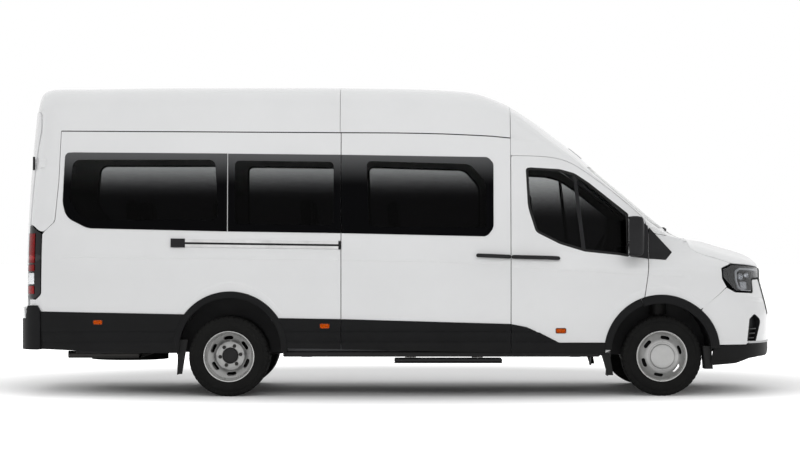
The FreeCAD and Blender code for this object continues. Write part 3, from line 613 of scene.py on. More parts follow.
# %% Weave
weave, v_in, v_out = group("Weave", [("Threads", 420.0)], [("Height", FLOAT), ("Mask", FLOAT)])
coords = node(weave, "ShaderNodeTexCoord")
warp = node(weave, "ShaderNodeTexWave", bands_direction="Y", Distortion=0.6, Detail=1.0)
weft = node(weave, "ShaderNodeTexWave", bands_direction="Z", Distortion=0.6, Detail=1.0)
fluff = node(weave, "ShaderNodeTexNoise", Detail=4.0)
for texture, share in ((warp, 0.35), (weft, 0.35), (fluff, 0.6)):
    wire(weave, (coords.outputs["Object"], texture.inputs["Vector"]),
                (maths(weave, "MULTIPLY", v_in.outputs["Threads"], share), texture.inputs["Scale"]))
crossing = maths(weave, "MAXIMUM", warp.outputs[1], weft.outputs[1])
wire(weave, (maths(weave, "MULTIPLY_ADD", fluff.outputs[0], 0.5, crossing), v_out.inputs["Height"]),
            (fluff.outputs[0], v_out.inputs["Mask"]))
print("group:", weave.name)

# %% [markdown]
# ## Finishes: the materials
# Every finish starts from the same short recipe: a base colour that drifts between two close tones, a
# roughness that drifts with it, and a fine relief. What makes paint look like paint and rubber like rubber is
# the scale of those drifts, so each finish below states its own.

# %% Finish maker
def blank(name, values):
    """A new material, its tree and its shader, with plain values written on the shader's own sockets."""
    m = bpy.data.materials.new(name)
    m.use_nodes = True
    shader = m.node_tree.nodes["Principled BSDF"]
    for label, value in values.items():
        shader.inputs[label].default_value = value
    return m, m.node_tree, shader


def emboss(t, shader, tree_group, scale, height, strength):
    """A fine relief from one of the shared effects."""
    grain = node(t, "ShaderNodeGroup", (-600, -450), node_tree=tree_group)
    grain.inputs[0].default_value = scale
    bump = node(t, "ShaderNodeBump", (-300, -400), Strength=strength, Distance=height)
    wire(t, (grain.outputs["Height"], bump.inputs["Height"]), (bump.outputs[0], shader.inputs["Normal"]))


def finish(name, dark, light, rough, relief=None, film_at=None, metallic=0.0, coat=0.0, mask=None, sheen=0.0,
           specular=0.5, film_colour=(0.32, 0.29, 0.25)):
    """A principled material. relief is (group, scale, height), film_at is (top, bottom, amount) and mask is
    (group, scale)."""
    m, t, shader = blank(name, {"Metallic": metallic, "Coat Weight": coat, "Coat Roughness": 0.06,
                                "Sheen Weight": sheen, "Specular IOR Level": specular})
    tree_group, scale = mask or (worn, 6.0)
    drift = node(t, "ShaderNodeGroup", (-900, 0), node_tree=tree_group)
    drift.inputs[0].default_value = scale
    colour = node(t, "ShaderNodeMix", (-600, 100), data_type="RGBA")
    colour.inputs[6].default_value = (*dark, 1)
    colour.inputs[7].default_value = (*light, 1)
    t.links.new(drift.outputs["Mask"], colour.inputs[0])
    result = colour.outputs[2]
    level = node(t, "ShaderNodeMapRange", (-600, -200), **{"To Min": rough[0], "To Max": rough[1]})
    t.links.new(drift.outputs["Mask"], level.inputs["Value"])
    roughness = level.outputs[0]
    if film_at:
        dust = node(t, "ShaderNodeGroup", (-900, 300), node_tree=film)
        for socket, value in zip(dust.inputs, film_at):
            socket.default_value = value
        dusty = node(t, "ShaderNodeMix", (-350, 200), data_type="RGBA")
        dusty.inputs[7].default_value = (*film_colour, 1)
        wire(t, (dust.outputs[0], dusty.inputs[0]), (result, dusty.inputs[6]))
        result = dusty.outputs[2]
        roughness = maths(t, "MULTIPLY_ADD", dust.outputs[0], 0.4, roughness)
    wire(t, (result, shader.inputs["Base Color"]), (roughness, shader.inputs["Roughness"]))
    if relief:
        emboss(t, shader, *relief, 0.5)
    return m


print("finish maker ready")

# %% [markdown]
# ### Paint, plastic and rubber
# White paint is a diffuse white under a clear coat, with an orange peel about a millimetre across and a
# little road film low down. Moulded plastic is grained, and dark rather than black. Tyre rubber is a warm,
# dull black.

# %% Paint, plastic and rubber
WHITE = finish("white paint", (0.77, 0.775, 0.78), (0.80, 0.805, 0.81), (0.28, 0.34), (bumps, 520, 0.00006),
               (0.75, 0.25, 0.10), coat=0.55, mask=(worn, 1.2), film_colour=(0.55, 0.53, 0.50))
DARK_GREY = finish("dark grey moulding", (0.0075, 0.0076, 0.008), (0.011, 0.0112, 0.0118), (0.46, 0.56),
                   (bumps, 900, 0.00025), (0.5, 0.2, 0.02), mask=(worn, 3), specular=0.09)
BLACK = finish("black moulding", (0.008, 0.008, 0.009), (0.013, 0.013, 0.014), (0.42, 0.55),
               (bumps, 1100, 0.0002), (0.6, 0.1, 0.03), mask=(worn, 5), specular=0.2)
GLOSS_BLACK = finish("gloss black", (0.005, 0.005, 0.006), (0.008, 0.008, 0.009), (0.12, 0.18),
                     (bumps, 400, 0.00003), mask=(worn, 3), specular=0.3)
RUBBER = finish("sealing rubber", (0.007, 0.007, 0.007), (0.012, 0.012, 0.012), (0.6, 0.75),
                (bumps, 1500, 0.0002), specular=0.25)
TYRE = finish("tyre rubber", (0.007, 0.007, 0.007), (0.013, 0.013, 0.0125), (0.62, 0.82),
              (bumps, 700, 0.0004), mask=(worn, 9), specular=0.08)
LINING = finish("cabin lining", (0.56, 0.56, 0.55), (0.62, 0.62, 0.61), (0.75, 0.9), (bumps, 900, 0.0004))
TRIM = finish("cabin trim plastic", (0.030, 0.030, 0.032), (0.045, 0.045, 0.048), (0.5, 0.65),
              (bumps, 800, 0.0004))
FLOORING = finish("floor covering", (0.075, 0.077, 0.082), (0.11, 0.112, 0.118), (0.5, 0.65),
                  (bumps, 260, 0.0004), mask=(bumps, 900))
PRIMER = finish("inner sheet paint", (0.50, 0.505, 0.51), (0.56, 0.565, 0.57), (0.45, 0.6),
                (bumps, 300, 0.0001))
print("paints, plastics and rubbers:", len(bpy.data.materials))

# %% [markdown]
# ### Metals
# The wheels are painted silver, so they are only partly metallic. The frame under the floor is black chassis
# paint with dust on it. The block is raw cast iron. The slide rail is brushed, and the exhaust has dulled.

# %% Metals
SILVER = finish("silver wheel paint", (0.36, 0.36, 0.355), (0.44, 0.44, 0.435), (0.30, 0.40),
                (bumps, 600, 0.0001), metallic=0.6, mask=(worn, 4))
# The rim takes a lighter copy of the wheels' silver paint: a painted highlight.
RIM_PAINTED_HIGHLIGHT = finish("rim silver with painted highlight", (0.56, 0.56, 0.55), (0.66, 0.66, 0.65), (0.24, 0.34), (bumps, 600, 0.0001),
             metallic=0.5, mask=(worn, 4))
CHASSIS = finish("chassis paint", (0.012, 0.012, 0.013), (0.026, 0.025, 0.024), (0.5, 0.7),
                 (worn, 20, 0.0006), (0.8, 0.1, 0.08), mask=(worn, 7), specular=0.3)
CAST = finish("cast iron", (0.11, 0.105, 0.10), (0.20, 0.19, 0.18), (0.55, 0.75), (bumps, 500, 0.0012),
              metallic=0.5)
MIRROR_METAL = finish("mirror silvering", (0.80, 0.81, 0.82), (0.84, 0.85, 0.86), (0.02, 0.04), metallic=1.0)
RAIL = finish("brushed rail", (0.56, 0.56, 0.56), (0.70, 0.70, 0.70), (0.30, 0.42), (worn, 40, 0.0001),
              metallic=0.6)
EXHAUST = finish("exhaust steel", (0.03, 0.029, 0.028), (0.06, 0.057, 0.054), (0.45, 0.65),
                 (worn, 16, 0.0005), metallic=0.8, mask=(worn, 5))
print("metals ready")

# %% [markdown]
# ### Seat cloth
# Woven cloth, dark grey, with a soft sheen at grazing light and fine crossing threads.

# %% Seat cloth
CLOTH = finish("seat cloth", (0.055, 0.057, 0.063), (0.095, 0.098, 0.106), (0.8, 0.95), (weave, 520, 0.0006),
               mask=(weave, 900), sheen=0.3, specular=0.25)
PIPING = finish("seat edge vinyl", (0.020, 0.020, 0.022), (0.032, 0.032, 0.034), (0.45, 0.6),
                (bumps, 700, 0.0004))
print("cloth ready")


# %% [markdown]
# ### Glass and lenses
# Glass is a transmissive shader with its colour in the base. The windows are tinted, so two panes in line let
# little through and the far side reads grey. Lenses are clear or coloured plastic with small flutes.

# %% Glass and lenses
def clear(name, tint, rough=0.0, relief=None, low=None, heights=(2.1, 1.7), specular=0.5, shine=1.0):
    """A clear or tinted pane. low is the tint at its foot; between two heights the pane is painted lighter
    upwards, a painted reflection.
    """
    m, t, shader = blank(name, {"Transmission Weight": 1.0, "IOR": 1.45, "Specular IOR Level": specular,
                                "Specular Tint": (shine, shine, shine, 1)})
    drift = node(t, "ShaderNodeGroup", (-700, 0), node_tree=bumps)
    drift.inputs[0].default_value = 2.0
    colour = node(t, "ShaderNodeMix", (-400, 0), data_type="RGBA")
    colour.inputs[6].default_value = (*tint, 1)
    colour.inputs[7].default_value = (*(low or (c * 1.06 for c in tint)), 1)
    if low:
        height = node(t, "ShaderNodeGroup", (-700, 200), node_tree=fade)
        for socket, value in zip(height.inputs, heights):
            socket.default_value = value
        t.links.new(height.outputs[0], colour.inputs[0])
    else:
        t.links.new(drift.outputs["Mask"], colour.inputs[0])
    t.links.new(colour.outputs[2], shader.inputs["Base Color"])
    level = node(t, "ShaderNodeMapRange", (-400, -250), **{"To Min": rough, "To Max": rough + 0.01})
    wire(t, (drift.outputs["Mask"], level.inputs["Value"]), (level.outputs[0], shader.inputs["Roughness"]))
    if relief:
        emboss(t, shader, bumps, *relief, 0.6)
    return m


# Painted reflection: these panes are painted lighter towards the top, between the two heights, as if they
# reflected the white above.
TINTED_WITH_PAINTED_REFLECTION = clear("tinted glass with painted reflection", (0.52, 0.53, 0.53), low=(0.03, 0.03, 0.032), heights=(2.09, 1.72),
               specular=0.12, shine=0.09)
CAB_GLASS_WITH_PAINTED_REFLECTION = clear("cab glass with painted reflection", (0.56, 0.57, 0.57), low=(0.045, 0.045, 0.047), heights=(1.98, 1.52),
                  specular=0.15, shine=0.12)
SCREEN_GLASS = clear("windscreen glass", (0.50, 0.515, 0.515), shine=0.6)
LENS = clear("clear lens", (0.86, 0.87, 0.88), 0.01)
RED = clear("red lens", (0.22, 0.0006, 0.001), 0.04, (140, 0.0006), shine=0.15)
AMBER = clear("amber lens", (0.56, 0.20, 0.002), 0.05, (160, 0.0006), shine=0.15)
REFLECTOR = finish("lamp reflector", (0.70, 0.71, 0.72), (0.78, 0.79, 0.80), (0.08, 0.16),
                   (bumps, 120, 0.0003), metallic=1.0)
LIGHT_PIPE = finish("light guide", (0.72, 0.73, 0.74), (0.80, 0.81, 0.82), (0.2, 0.3), coat=0.5)
# The black border print is painted lighter towards the top, between 1.82 and 2.17 m high: a painted
# reflection.
FRIT_WITH_PAINTED_REFLECTION = finish("glass border print with painted reflection", (0.12, 0.122, 0.125), (0.0015, 0.0015, 0.002), (0.08, 0.06),
              mask=(fade, 2.17), specular=0.03)
FRIT_WITH_PAINTED_REFLECTION.node_tree.nodes["Group"].inputs["Bottom"].default_value = 1.82
SCREEN_FRIT = finish("windscreen border print", (0.004, 0.004, 0.005), (0.007, 0.007, 0.008), (0.05, 0.09),
                     specular=0.2)
print("glass ready;", len(bpy.data.materials), "finishes in all")

# %% [markdown]
# ## The body's surface
# All outer panels lie on a few smooth surfaces, so that neighbours meet in line. The side is a tall, gently
# crowned wall: `WIDTH` gives its half-width at each height. Towards the cab it draws in, at the back it turns
# round a tight corner, and at the nose it wraps round into the face of the vehicle.

# %% Surface numbers
WIDTH = smooth_line([(280, 975), (330, 988), (480, 1008), (700, 1022), (960, 1030), (1180, 1027),
                     (1420, 1011), (1760, 986), (2100, 958), (2290, 937), (2400, 925)])
SWAGE = smooth_line([(-3081, 1210), (-1889, 1201), (-489, 1184), (634, 1158), (1152, 1119), (2103, 1059),
                     (2794, 1024)])
NOSE_START, TAIL_START = 2500, -2700
NOSE_BLEND, CORNER_X, REAR_WALL = 2480, -2950, -3246
NOSE_POWER, SHOULDER_POWER, TAIL_POWER = 3.3, 3.0, 6.0
NOSE_X = smooth_line([(200, 3290), (345, 3296), (376, 3308), (447, 3306), (525, 3307), (652, 3311),
                      (760, 3303), (902, 3272), (1000, 3246), (1100, 3240), (1500, 3240)])
CROWN = smooth_line([(2450, 1392), (2572, 1366), (2716, 1345), (2845, 1312), (3036, 1288), (3197, 1272),
                     (3250, 1262)])
BONNET_CROWN = smooth_line([(2450, 1392), (2572, 1366), (2716, 1342), (2845, 1302), (3036, 1248),
                            (3132, 1208), (3197, 1160), (3225, 1116)])
REAR_ARCH, FRONT_ARCH = (-1440, 412), (2289, 388)
REAR_ARCH_R, FRONT_ARCH_R = 445, 420
REAR_FLARE_R, FRONT_FLARE_R = 497, 493


def rear_wall_x(z):
    return REAR_WALL + 3.17e-5 * (max(z, 842) - 842) ** 2


def cab_taper(x, z):
    """How far the cab draws in towards the windscreen."""
    t = max(0.0, x - 950)
    return 0.0764 * t * t / (t + 120) * ease(1090, 1260, z)


def stamping(x, z):
    """The raised band pressed round each wheel arch."""
    total = 0.0
    for (cx, cz), top, ends in ((REAR_ARCH, 585, 545), (FRONT_ARCH, 573, 545)):
        r = hypot(x - cx, z - cz)
        if z < cz or r > top + 20:
            continue
        angle = abs(atan2(x - cx, z - cz))
        reach = mix(top, ends, min(1.0, angle / 0.84))
        total += 7 * (1 - ease(reach - 16, reach + 4, r)) * (1 - ease(0.75, 1.15, angle))
    return total


def half_width(x, z):
    below = SWAGE(max(-3081, min(2794, x))) - z
    step = 4.5 * ease(0, 14, below) * (1 - ease(30, 190, below)) * (1 - ease(2500, 2780, x))
    return WIDTH(z) - cab_taper(x, z) - step + stamping(x, z)


def arc_table(length, width, power):
    """Even steps along a rounded corner from the side (0, 1) to the end (1, 0)."""
    turns = np.linspace(0, pi / 2, 4001)
    px, py = np.sin(turns) ** (2 / power), np.cos(turns) ** (2 / power)
    run = np.concatenate([[0], np.cumsum(np.hypot(np.diff(px * length), np.diff(py * width)))])
    return run, px, py


NOSE_RUN, NOSE_PX, NOSE_PY = arc_table(760, 1020, NOSE_POWER)
TAIL_RUN, TAIL_PX, TAIL_PY = arc_table(546, 1000, TAIL_POWER)


def corner(run, table, px, py):
    return float(np.interp(run, table, px)), float(np.interp(run, table, py))


def side_point(u, z):
    """The right or left side as (x, half-width, z). u is x along the side, and runs on round both ends."""
    if u < TAIL_START:
        px, py = corner(TAIL_START - u, TAIL_RUN, TAIL_PX, TAIL_PY)
        return TAIL_START + px * (rear_wall_x(z) - TAIL_START), py * half_width(max(u, CORNER_X), z), z
    if u <= NOSE_BLEND:
        return u, half_width(u, z), z
    px, py = corner(max(0, u - NOSE_START), NOSE_RUN, NOSE_PX, NOSE_PY)
    x = NOSE_START + px * (NOSE_X(z) - NOSE_START) if u > NOSE_START else u
    lift = max(0.0, z - 1000) / (CROWN(x) - 1000)
    left = max(0.0, 1 - min(1.0, lift) ** SHOULDER_POWER)
    nose_y = py * WIDTH(z) * left ** (1 / NOSE_POWER)
    x_nose = NOSE_START + (x - NOSE_START) * left ** (1 / NOSE_POWER) if x > NOSE_START else x
    blend = ease(NOSE_BLEND, 2700, x)
    return mix(x, x_nose, blend), mix(half_width(min(x, 2720), z) * mix(1, py, 0.6), nose_y, blend), z


def right_side(u, z):
    x, y, z = side_point(u, z)
    return x, -y, z


left_side = side_point


def rear_face(y, z):
    """The rear wall, for pieces near the middle."""
    left = max(0.02, 1 - abs(y / half_width(CORNER_X, z)) ** TAIL_POWER)
    return TAIL_START + (rear_wall_x(z) - TAIL_START) * left ** (1 / TAIL_POWER), y, z


for spot in ((0, 1000), (2300, 1300), (2900, 1100), (3200, 900), (-3200, 1200)):
    print("side", spot, [round(c) for c in side_point(*spot)])

# %% [markdown]
# The roof is one long vault. At each station it starts from the gutter, leans in slightly, and then turns
# over in a squarish arch to its crown. Forward of the doors the same vault comes down as the windscreen and
# its pillars, and it bows forward in plan, which is why a station is a bowed line rather than a flat slice.

# %% Roof surface
ROOF_LINE = smooth_line([(-2700, 2688), (-2200, 2696), (-1400, 2700), (-400, 2698), (455, 2675), (695, 2650),
                         (854, 2604), (1014, 2539), (1165, 2450), (1292, 2367), (1405, 2283), (1533, 2187),
                         (1644, 2099), (1756, 1998), (2074, 1732), (2392, 1467), (2440, 1432), (2500, 1400)])
DOOR_TOP = smooth_line([(989, 2086), (1283, 2077), (1408, 2058), (1515, 2020), (1670, 1924), (1824, 1812),
                        (1980, 1687), (2104, 1579), (2158, 1517), (2186, 1440), (2240, 1412), (2330, 1396),
                        (2450, 1372), (2524, 1352)])
GUTTER = smooth_line([(-2960, 2300), (-485, 2286), (229, 2280), (662, 2264), (989, 2239), (1300, 2172),
                      (1560, 2000)])
VAULT_POWER, TAIL_TOP_POWER, LEAN = 6.0, 8.0, 0.13


def bow_back(y, station):
    """How far a vault's line runs back at a distance from the middle."""
    y = abs(y)
    return 130 * ease(450, 1500, station) * ((min(y, 790) / 850) ** 2 + max(0, y - 790) / 2600)


def roof_base(station, cab):
    """The lower edge of a vault, at the gutter or over the cab door: half-width and height."""
    x, y = station, 950.0
    for _ in range(4):
        z = DOOR_TOP(max(989, x)) if cab else GUTTER(min(989, x))
        y = half_width(x, z)
        x = station - bow_back(y, station)
    return y, z


SECTIONS = {}


def section(station, cab):
    """The half outline of a vault as even steps: share of the run, half-width, height."""
    key = round(station * 4), cab
    if key not in SECTIONS:
        base_y, base_z = roof_base(station, cab)
        top = ROOF_LINE(station)
        spring = mix(2290, DOOR_TOP(max(989, station - 62)), ease(989, 1560, station))
        spring = max(base_z, min(spring, top - 24))
        turn = np.linspace(0, pi / 2, 160)
        c, s = np.cos(turn) ** (2 / VAULT_POWER), np.sin(turn) ** (2 / VAULT_POWER)
        z = spring + (top - spring) * s
        y = (base_y - LEAN * (z - base_z)) * c
        y, z = np.concatenate([[base_y], y]), np.concatenate([[base_z], z])
        run = np.concatenate([[0], np.cumsum(np.hypot(np.diff(y), np.diff(z)))])
        SECTIONS[key] = run / run[-1], y, z
    return SECTIONS[key]


def vault(station, w, cab=None):
    """A point of the vault. w runs from -1000 at the right edge to 1000 at the left, across the crown."""
    share, ys, zs = section(max(station, TAIL_START), station > 1048 if cab is None else cab)
    t = 1 - min(1000, abs(w)) / 1000
    side = -1 if w < 0 else 1
    y, z = float(np.interp(t, share, ys)), float(np.interp(t, share, zs))
    if station < TAIL_START:
        px, py = corner(TAIL_START - station, TAIL_RUN, TAIL_PX, TAIL_PY)
        z = mix(2300, z, max(0.0, 1 - px ** TAIL_TOP_POWER) ** (1 / TAIL_TOP_POWER))
        return TAIL_START + px * (rear_wall_x(z) - TAIL_START), side * y * py, z
    return station - bow_back(y, station), side * y, z


def w_at(station, y):
    """The w of a vault point that lies y from the middle."""
    low, high = 0.0, 1000.0
    for _ in range(30):
        middle = (low + high) / 2
        if vault(station, middle)[1] < y:
            low = middle
        else:
            high = middle
    return low


def seam_station(w, x, cab):
    """The station at which a line of the vault passes through a cross plane at x."""
    station = x
    for _ in range(12):
        station += x - vault(station, w, cab)[0]
    return station


for spot in ((0, 0), (0, 700), (1400, 900), (1900, 0), (2392, 600), (2392, 1000)):
    print("vault", spot, [round(c) for c in vault(*spot)])


# %% [markdown]
# ## Camera, floor and light
# The camera stands square to the right side, far back, as a long lens does for a side view. The floor is pale
# and the world behind is white, but only for what looks at them: the light that falls on the vehicle stays
# soft and plain. Five large soft lamps light the roof, the sides and the ends, so every side reads well.
# Reflections and glass see the white world instead of the lamps, which keeps glare off the paint.

# %% Camera
camera = bpy.data.objects.new("side_camera", bpy.data.cameras.new("side_camera"))
bpy.context.scene.collection.objects.link(camera)
camera.location = (0.0293, -20.95, 1.318)
camera.rotation_euler = (radians(90), 0, 0)
camera.data.lens = 103.8
camera.data.shift_y = 0.02375
camera.data.clip_end = 200
bpy.context.scene.camera = camera
bpy.context.scene.view_settings.view_transform = "Standard"
print("camera at", tuple(camera.location))

# %% Lamps and world
def lamp(name, at, aim, size, power):
    """A soft panel of light that reflections and glass don't show."""
    data = bpy.data.lights.new(name, "AREA")
    data.shape = "RECTANGLE"
    data.size, data.size_y = size
    data.energy = power
    obj = bpy.data.objects.new(name, data)
    obj.location = at
    obj.rotation_euler = (Vector(aim) - Vector(at)).to_track_quat("-Z", "Y").to_euler()
    obj.visible_glossy = obj.visible_transmission = False
    bpy.context.scene.collection.objects.link(obj)


AIM = (0, 0, 1.2)
LAMPS = (
    ("overhead", (0, 0, 7.5), (0, 0, 0), (11, 6), 112),
    ("right_softbox", (0, -8.5, 4.6), AIM, (12, 4), 276), ("left_softbox", (0, 8.5, 4.6), AIM, (12, 4), 276),
    ("front_softbox", (9.5, 0, 4.2), AIM, (6, 4), 100), ("rear_softbox", (-9.5, 0, 4.2), AIM, (6, 4), 120),
)
for each in LAMPS:
    lamp(*each)


def seen_rays(tree):
    """1 for rays that look, from the camera, in a reflection or through glass, and 0 for lighting rays."""
    path = node(tree, "ShaderNodeLightPath")
    return maths(tree, "MAXIMUM", path.outputs["Is Camera Ray"],
                 maths(tree, "MAXIMUM", path.outputs["Is Glossy Ray"], path.outputs["Is Transmission Ray"]))


WORLD_LIGHT, WORLD_SEEN = 0.47, 1.0
world = bpy.data.worlds.new("soft studio")
bpy.context.scene.world = world
world.use_nodes = True
tree = world.node_tree
background = tree.nodes["Background"]
level = node(tree, "ShaderNodeMix", data_type="FLOAT")
level.inputs[2].default_value = WORLD_LIGHT
level.inputs[3].default_value = WORLD_SEEN
wire(tree, (seen_rays(tree), level.inputs[0]), (level.outputs[0], background.inputs["Strength"]))
background.inputs["Color"].default_value = (1, 1, 1, 1)
print("five soft lamps and a white world")

# %% Floor
floor_paint, tree, shader = blank("studio floor", {
    "Base Color": (0.80, 0.80, 0.80, 1), "Roughness": 0.9, "Specular IOR Level": 0.1,
    "Emission Color": (1, 1, 1, 1)})
# Inside it the floor shows only lamp light and the real shadow, so the dark round the vehicle is wider than
# its shadow.
# Partly painted shadow: the floor's glow fades out over an oval round the vehicle, set towards its far side.
coords = node(tree, "ShaderNodeTexCoord")
aside = node(tree, "ShaderNodeVectorMath", operation="SUBTRACT")
aside.inputs[1].default_value = (0.1, 1.15, 0.0)
flat = node(tree, "ShaderNodeVectorMath", operation="MULTIPLY")
flat.inputs[1].default_value = (0.20, 0.27, 0.0)
wire(tree, (coords.outputs["Object"], aside.inputs[0]), (aside.outputs[0], flat.inputs[0]))
reach = node(tree, "ShaderNodeVectorMath", operation="LENGTH")
tree.links.new(flat.outputs[0], reach.inputs[0])
far = node(tree, "ShaderNodeMapRange", interpolation_type="SMOOTHSTEP",
           **{"From Min": 0.55, "From Max": 1.25, "To Min": 0.0, "To Max": 1.0})
tree.links.new(reach.outputs["Value"], far.inputs["Value"])
tree.links.new(maths(tree, "MULTIPLY", far.outputs[0], seen_rays(tree)), shader.inputs["Emission Strength"])
floor_mesh = bpy.data.meshes.new("studio_floor")
floor_mesh.from_pydata([(-90, -60, 0), (90, -60, 0), (90, 120, 0), (-90, 120, 0)], [], [(0, 1, 2, 3)])
floor_mesh.materials.append(floor_paint)
studio_floor = bpy.data.objects.new("studio_floor", floor_mesh)
bpy.context.scene.collection.objects.link(studio_floor)
studio_floor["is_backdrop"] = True
print("floor", tuple(round(v, 1) for v in studio_floor.dimensions))

# %% [markdown]
# ## Placing a piece
# Every piece rides on a body of the frame, takes its finish name from a material slot, and may stand for one
# or more frame nodes, which then stay only as collision shapes, hidden.

# %% Placing a piece
piece_count = {}


def fit(piece, body, *nodes, slot=None):
    """Put a piece on its body and hide the frame nodes it stands for. slot is not used."""
    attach(piece, body)
    nodes = [name for name in nodes if name]
    if nodes:
        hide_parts(*nodes)
    piece_count[body] = piece_count.get(body, 0) + 1
    return piece


def mirrored(loop, sign=-1):
    """A loop of (u, v) or (u, v, radius) points on the other side, or left as it is where sign is 1."""
    return [(sign * p[0], *p[1:]) for p in loop]


SIDES = (("right", -1, right_side, False), ("left", 1, left_side, True))

# %% [markdown]
# ## Side panels
# The rear side panel is one pressing from the rear corner seam to the door, with two window openings and the
# rear wheel arch. On the right the next pressing is the sliding door. On the left the wall runs on to the
# front door, because that side has no sliding door. The panels are 45 mm deep: an outer sheet, and a lined
# inner face.

# %% Side outlines
SEAM_X, DOOR_BACK, DOOR_FRONT = -2938, -481, 989
GAP = 6
HALF_GAP = GAP / 2
WINDOW_BACK = [(-2889, 2108, 50), (-2811, 2112), (-1466, 2102), (-1466, 1426), (-2672, 1453, 200),
               (-2864, 1548, 150), (-2898, 1680, 200)]
WINDOW_MIDDLE = [(-1460, 2101), (-484, 2091), (-484, 1411), (-1460, 1426)]
WINDOW_DOOR = [(-478, 2091), (791, 2071, 60), (839, 2019, 60), (839, 1457, 90), (783, 1383, 70), (-478, 1411)]
CLEAR_BACK = [(-2811, 2048, 70), (-1573, 2048, 55), (-1538, 1526, 70), (-2700, 1520, 160), (-2840, 1690, 120)]
CLEAR_MIDDLE = [(-1400, 2040, 40), (-545, 2030, 40), (-545, 1480, 40), (-1400, 1490, 40)]
CLEAR_DOOR = [(-261, 2037, 40), (635, 2010, 120), (770, 1860, 120), (774, 1457, 30), (-240, 1465, 60)]


def arch(centre, radius, bottom, steps=40):
    """An arch opening from the bottom edge up and over, from front to back."""
    low = asin((bottom - centre[1]) / radius)
    return [polar(radius, low + (pi - 2 * low) * k / steps, centre) for k in range(steps + 1)]


def grown(loop, by):
    return shifted(rounded(loop), -by)


SILL = 426
REAR_EDGE = [(SEAM_X + 3, 2297), (SEAM_X + 2, 1872, 300), (-2961, 1510, 60), (-3056, 1424), (-3074, 1400, 16),
             (-3074, 882, 50), (-3128, 836, 10), (-3214, 838), (-3214, 786), (-3108, 786), (-3081, 742),
             (-3081, SILL)]
wheel_cut = arch(REAR_ARCH, REAR_ARCH_R, SILL)[::-1]
front_top = [(x, GUTTER(x) - 4) for x in (DOOR_FRONT - HALF_GAP, 830, 662, 450, 229, 0, -240,
                                          DOOR_BACK + HALF_GAP)]
right_back = rounded(REAR_EDGE + wheel_cut + [(DOOR_BACK - HALF_GAP, SILL), (DOOR_BACK - HALF_GAP, 2282)])
left_back = rounded(REAR_EDGE + wheel_cut + [(DOOR_FRONT - HALF_GAP, SILL)] + front_top)
print("side outlines:", len(right_back), len(left_back))

# %% Side panels
SWAGE_LINE = [(x, SWAGE(x) - d) for x in range(-2900, 2500, 30) for d in (0, 5, 10, 15, 60)]


def ring_points(centre, top, ends):
    cx, cz = centre
    return [(cx + r * sin(a), cz + r * cos(a)) for a in np.linspace(-1.15, 1.15, 60)
            for r in (mix(top, ends, min(1, abs(a) / 0.84)) + d for d in (-18, -9, 0, 5))]


CREASES = [SWAGE_LINE, ring_points(REAR_ARCH, 585, 545), ring_points(FRONT_ARCH, 573, 545)]
windows_back = [grown(CLEAR_BACK, 18), grown(CLEAR_MIDDLE, 18)]
fit(skin("right_rear_side", right_back, right_side, 45, (WHITE, WHITE, LINING), windows_back, lines=CREASES),
    "body", "right_side_panel")
fit(skin("left_side", left_back, left_side, 45, (WHITE, WHITE, LINING),
         windows_back + [grown(CLEAR_DOOR, 18)], lines=CREASES, flip=True), "body", "left_side_panel")
slider = [(DOOR_BACK + HALF_GAP, 426, 12), (DOOR_FRONT - HALF_GAP, 394, 12)] + front_top
fit(skin("sliding_door_panel", rounded(slider), right_side, 45, (WHITE, WHITE, LINING),
         [grown(CLEAR_DOOR, 18)], lines=CREASES), "body", "sliding_door")

# %% [markdown]
# ## Bonded side windows
# Each pane is glued to the outside of the wall, over an opening a little smaller than itself. Its border is
# printed black to hide the glue, so the three panes read as one black band, with only thin lines between
# them.

# %% Side windows
# The print and the tint of these panes are painted lighter towards the top: a painted reflection.
GLASS_SET = (FRIT_WITH_PAINTED_REFLECTION, FRIT_WITH_PAINTED_REFLECTION, FRIT_WITH_PAINTED_REFLECTION, TINTED_WITH_PAINTED_REFLECTION)
for side, sign, surface, flip in SIDES:
    for label, pane, hole in (("rear", WINDOW_BACK, CLEAR_BACK), ("middle", WINDOW_MIDDLE, CLEAR_MIDDLE),
                              ("front", WINDOW_DOOR, CLEAR_DOOR)):
        fit(skin(f"{side}_{label}_side_glass", rounded(pane), surface, 4.3, GLASS_SET, lift=4.5, cell=70,
                 zone=rounded(hole), flip=flip, edge=1.2),
            "body", (side, label) == ("right", "rear") and "side_windows")
print("six bonded panes")

# %% [markdown]
# ## Roof
# The high roof is three pressings joined at cross seams, with a dark double groove where it meets the side
# walls. The rear cap turns down at the back and stops at the top of the rear doors. Each pressing is a plain
# grid of the vault, because it has no holes; its shading comes from the vault itself.

# %% Roof panels
ACROSS = list(np.linspace(-1000, 1000, 101))
ROOF_SEAMS = (SEAM_X, -490, 986)
REAR_DOOR_Y = 892
REAR_DOOR = [(5, 592, 6), (884, 592, 20), (884, 2300, 200), (850, 2468, 60), (5, 2468, 6)]
door_line = [p for p in shifted(rounded(REAR_DOOR), -8) if p[0] > 500]
door_line = sorted((z, y) for y, z in door_line) + [(2476.5, 0)]


def roof_sheet(start, end):
    """The vault between two cross planes; u runs from 0 to 1000."""
    ends = [(seam_station(w, start + 2, False), seam_station(w, end - 2, False)) for w in ACROSS]
    firsts, lasts = [e[0] for e in ends], [e[1] for e in ends]
    return lambda u, w: vault(mix(np.interp(w, ACROSS, firsts), np.interp(w, ACROSS, lasts), u / 1000),
                              w, False)


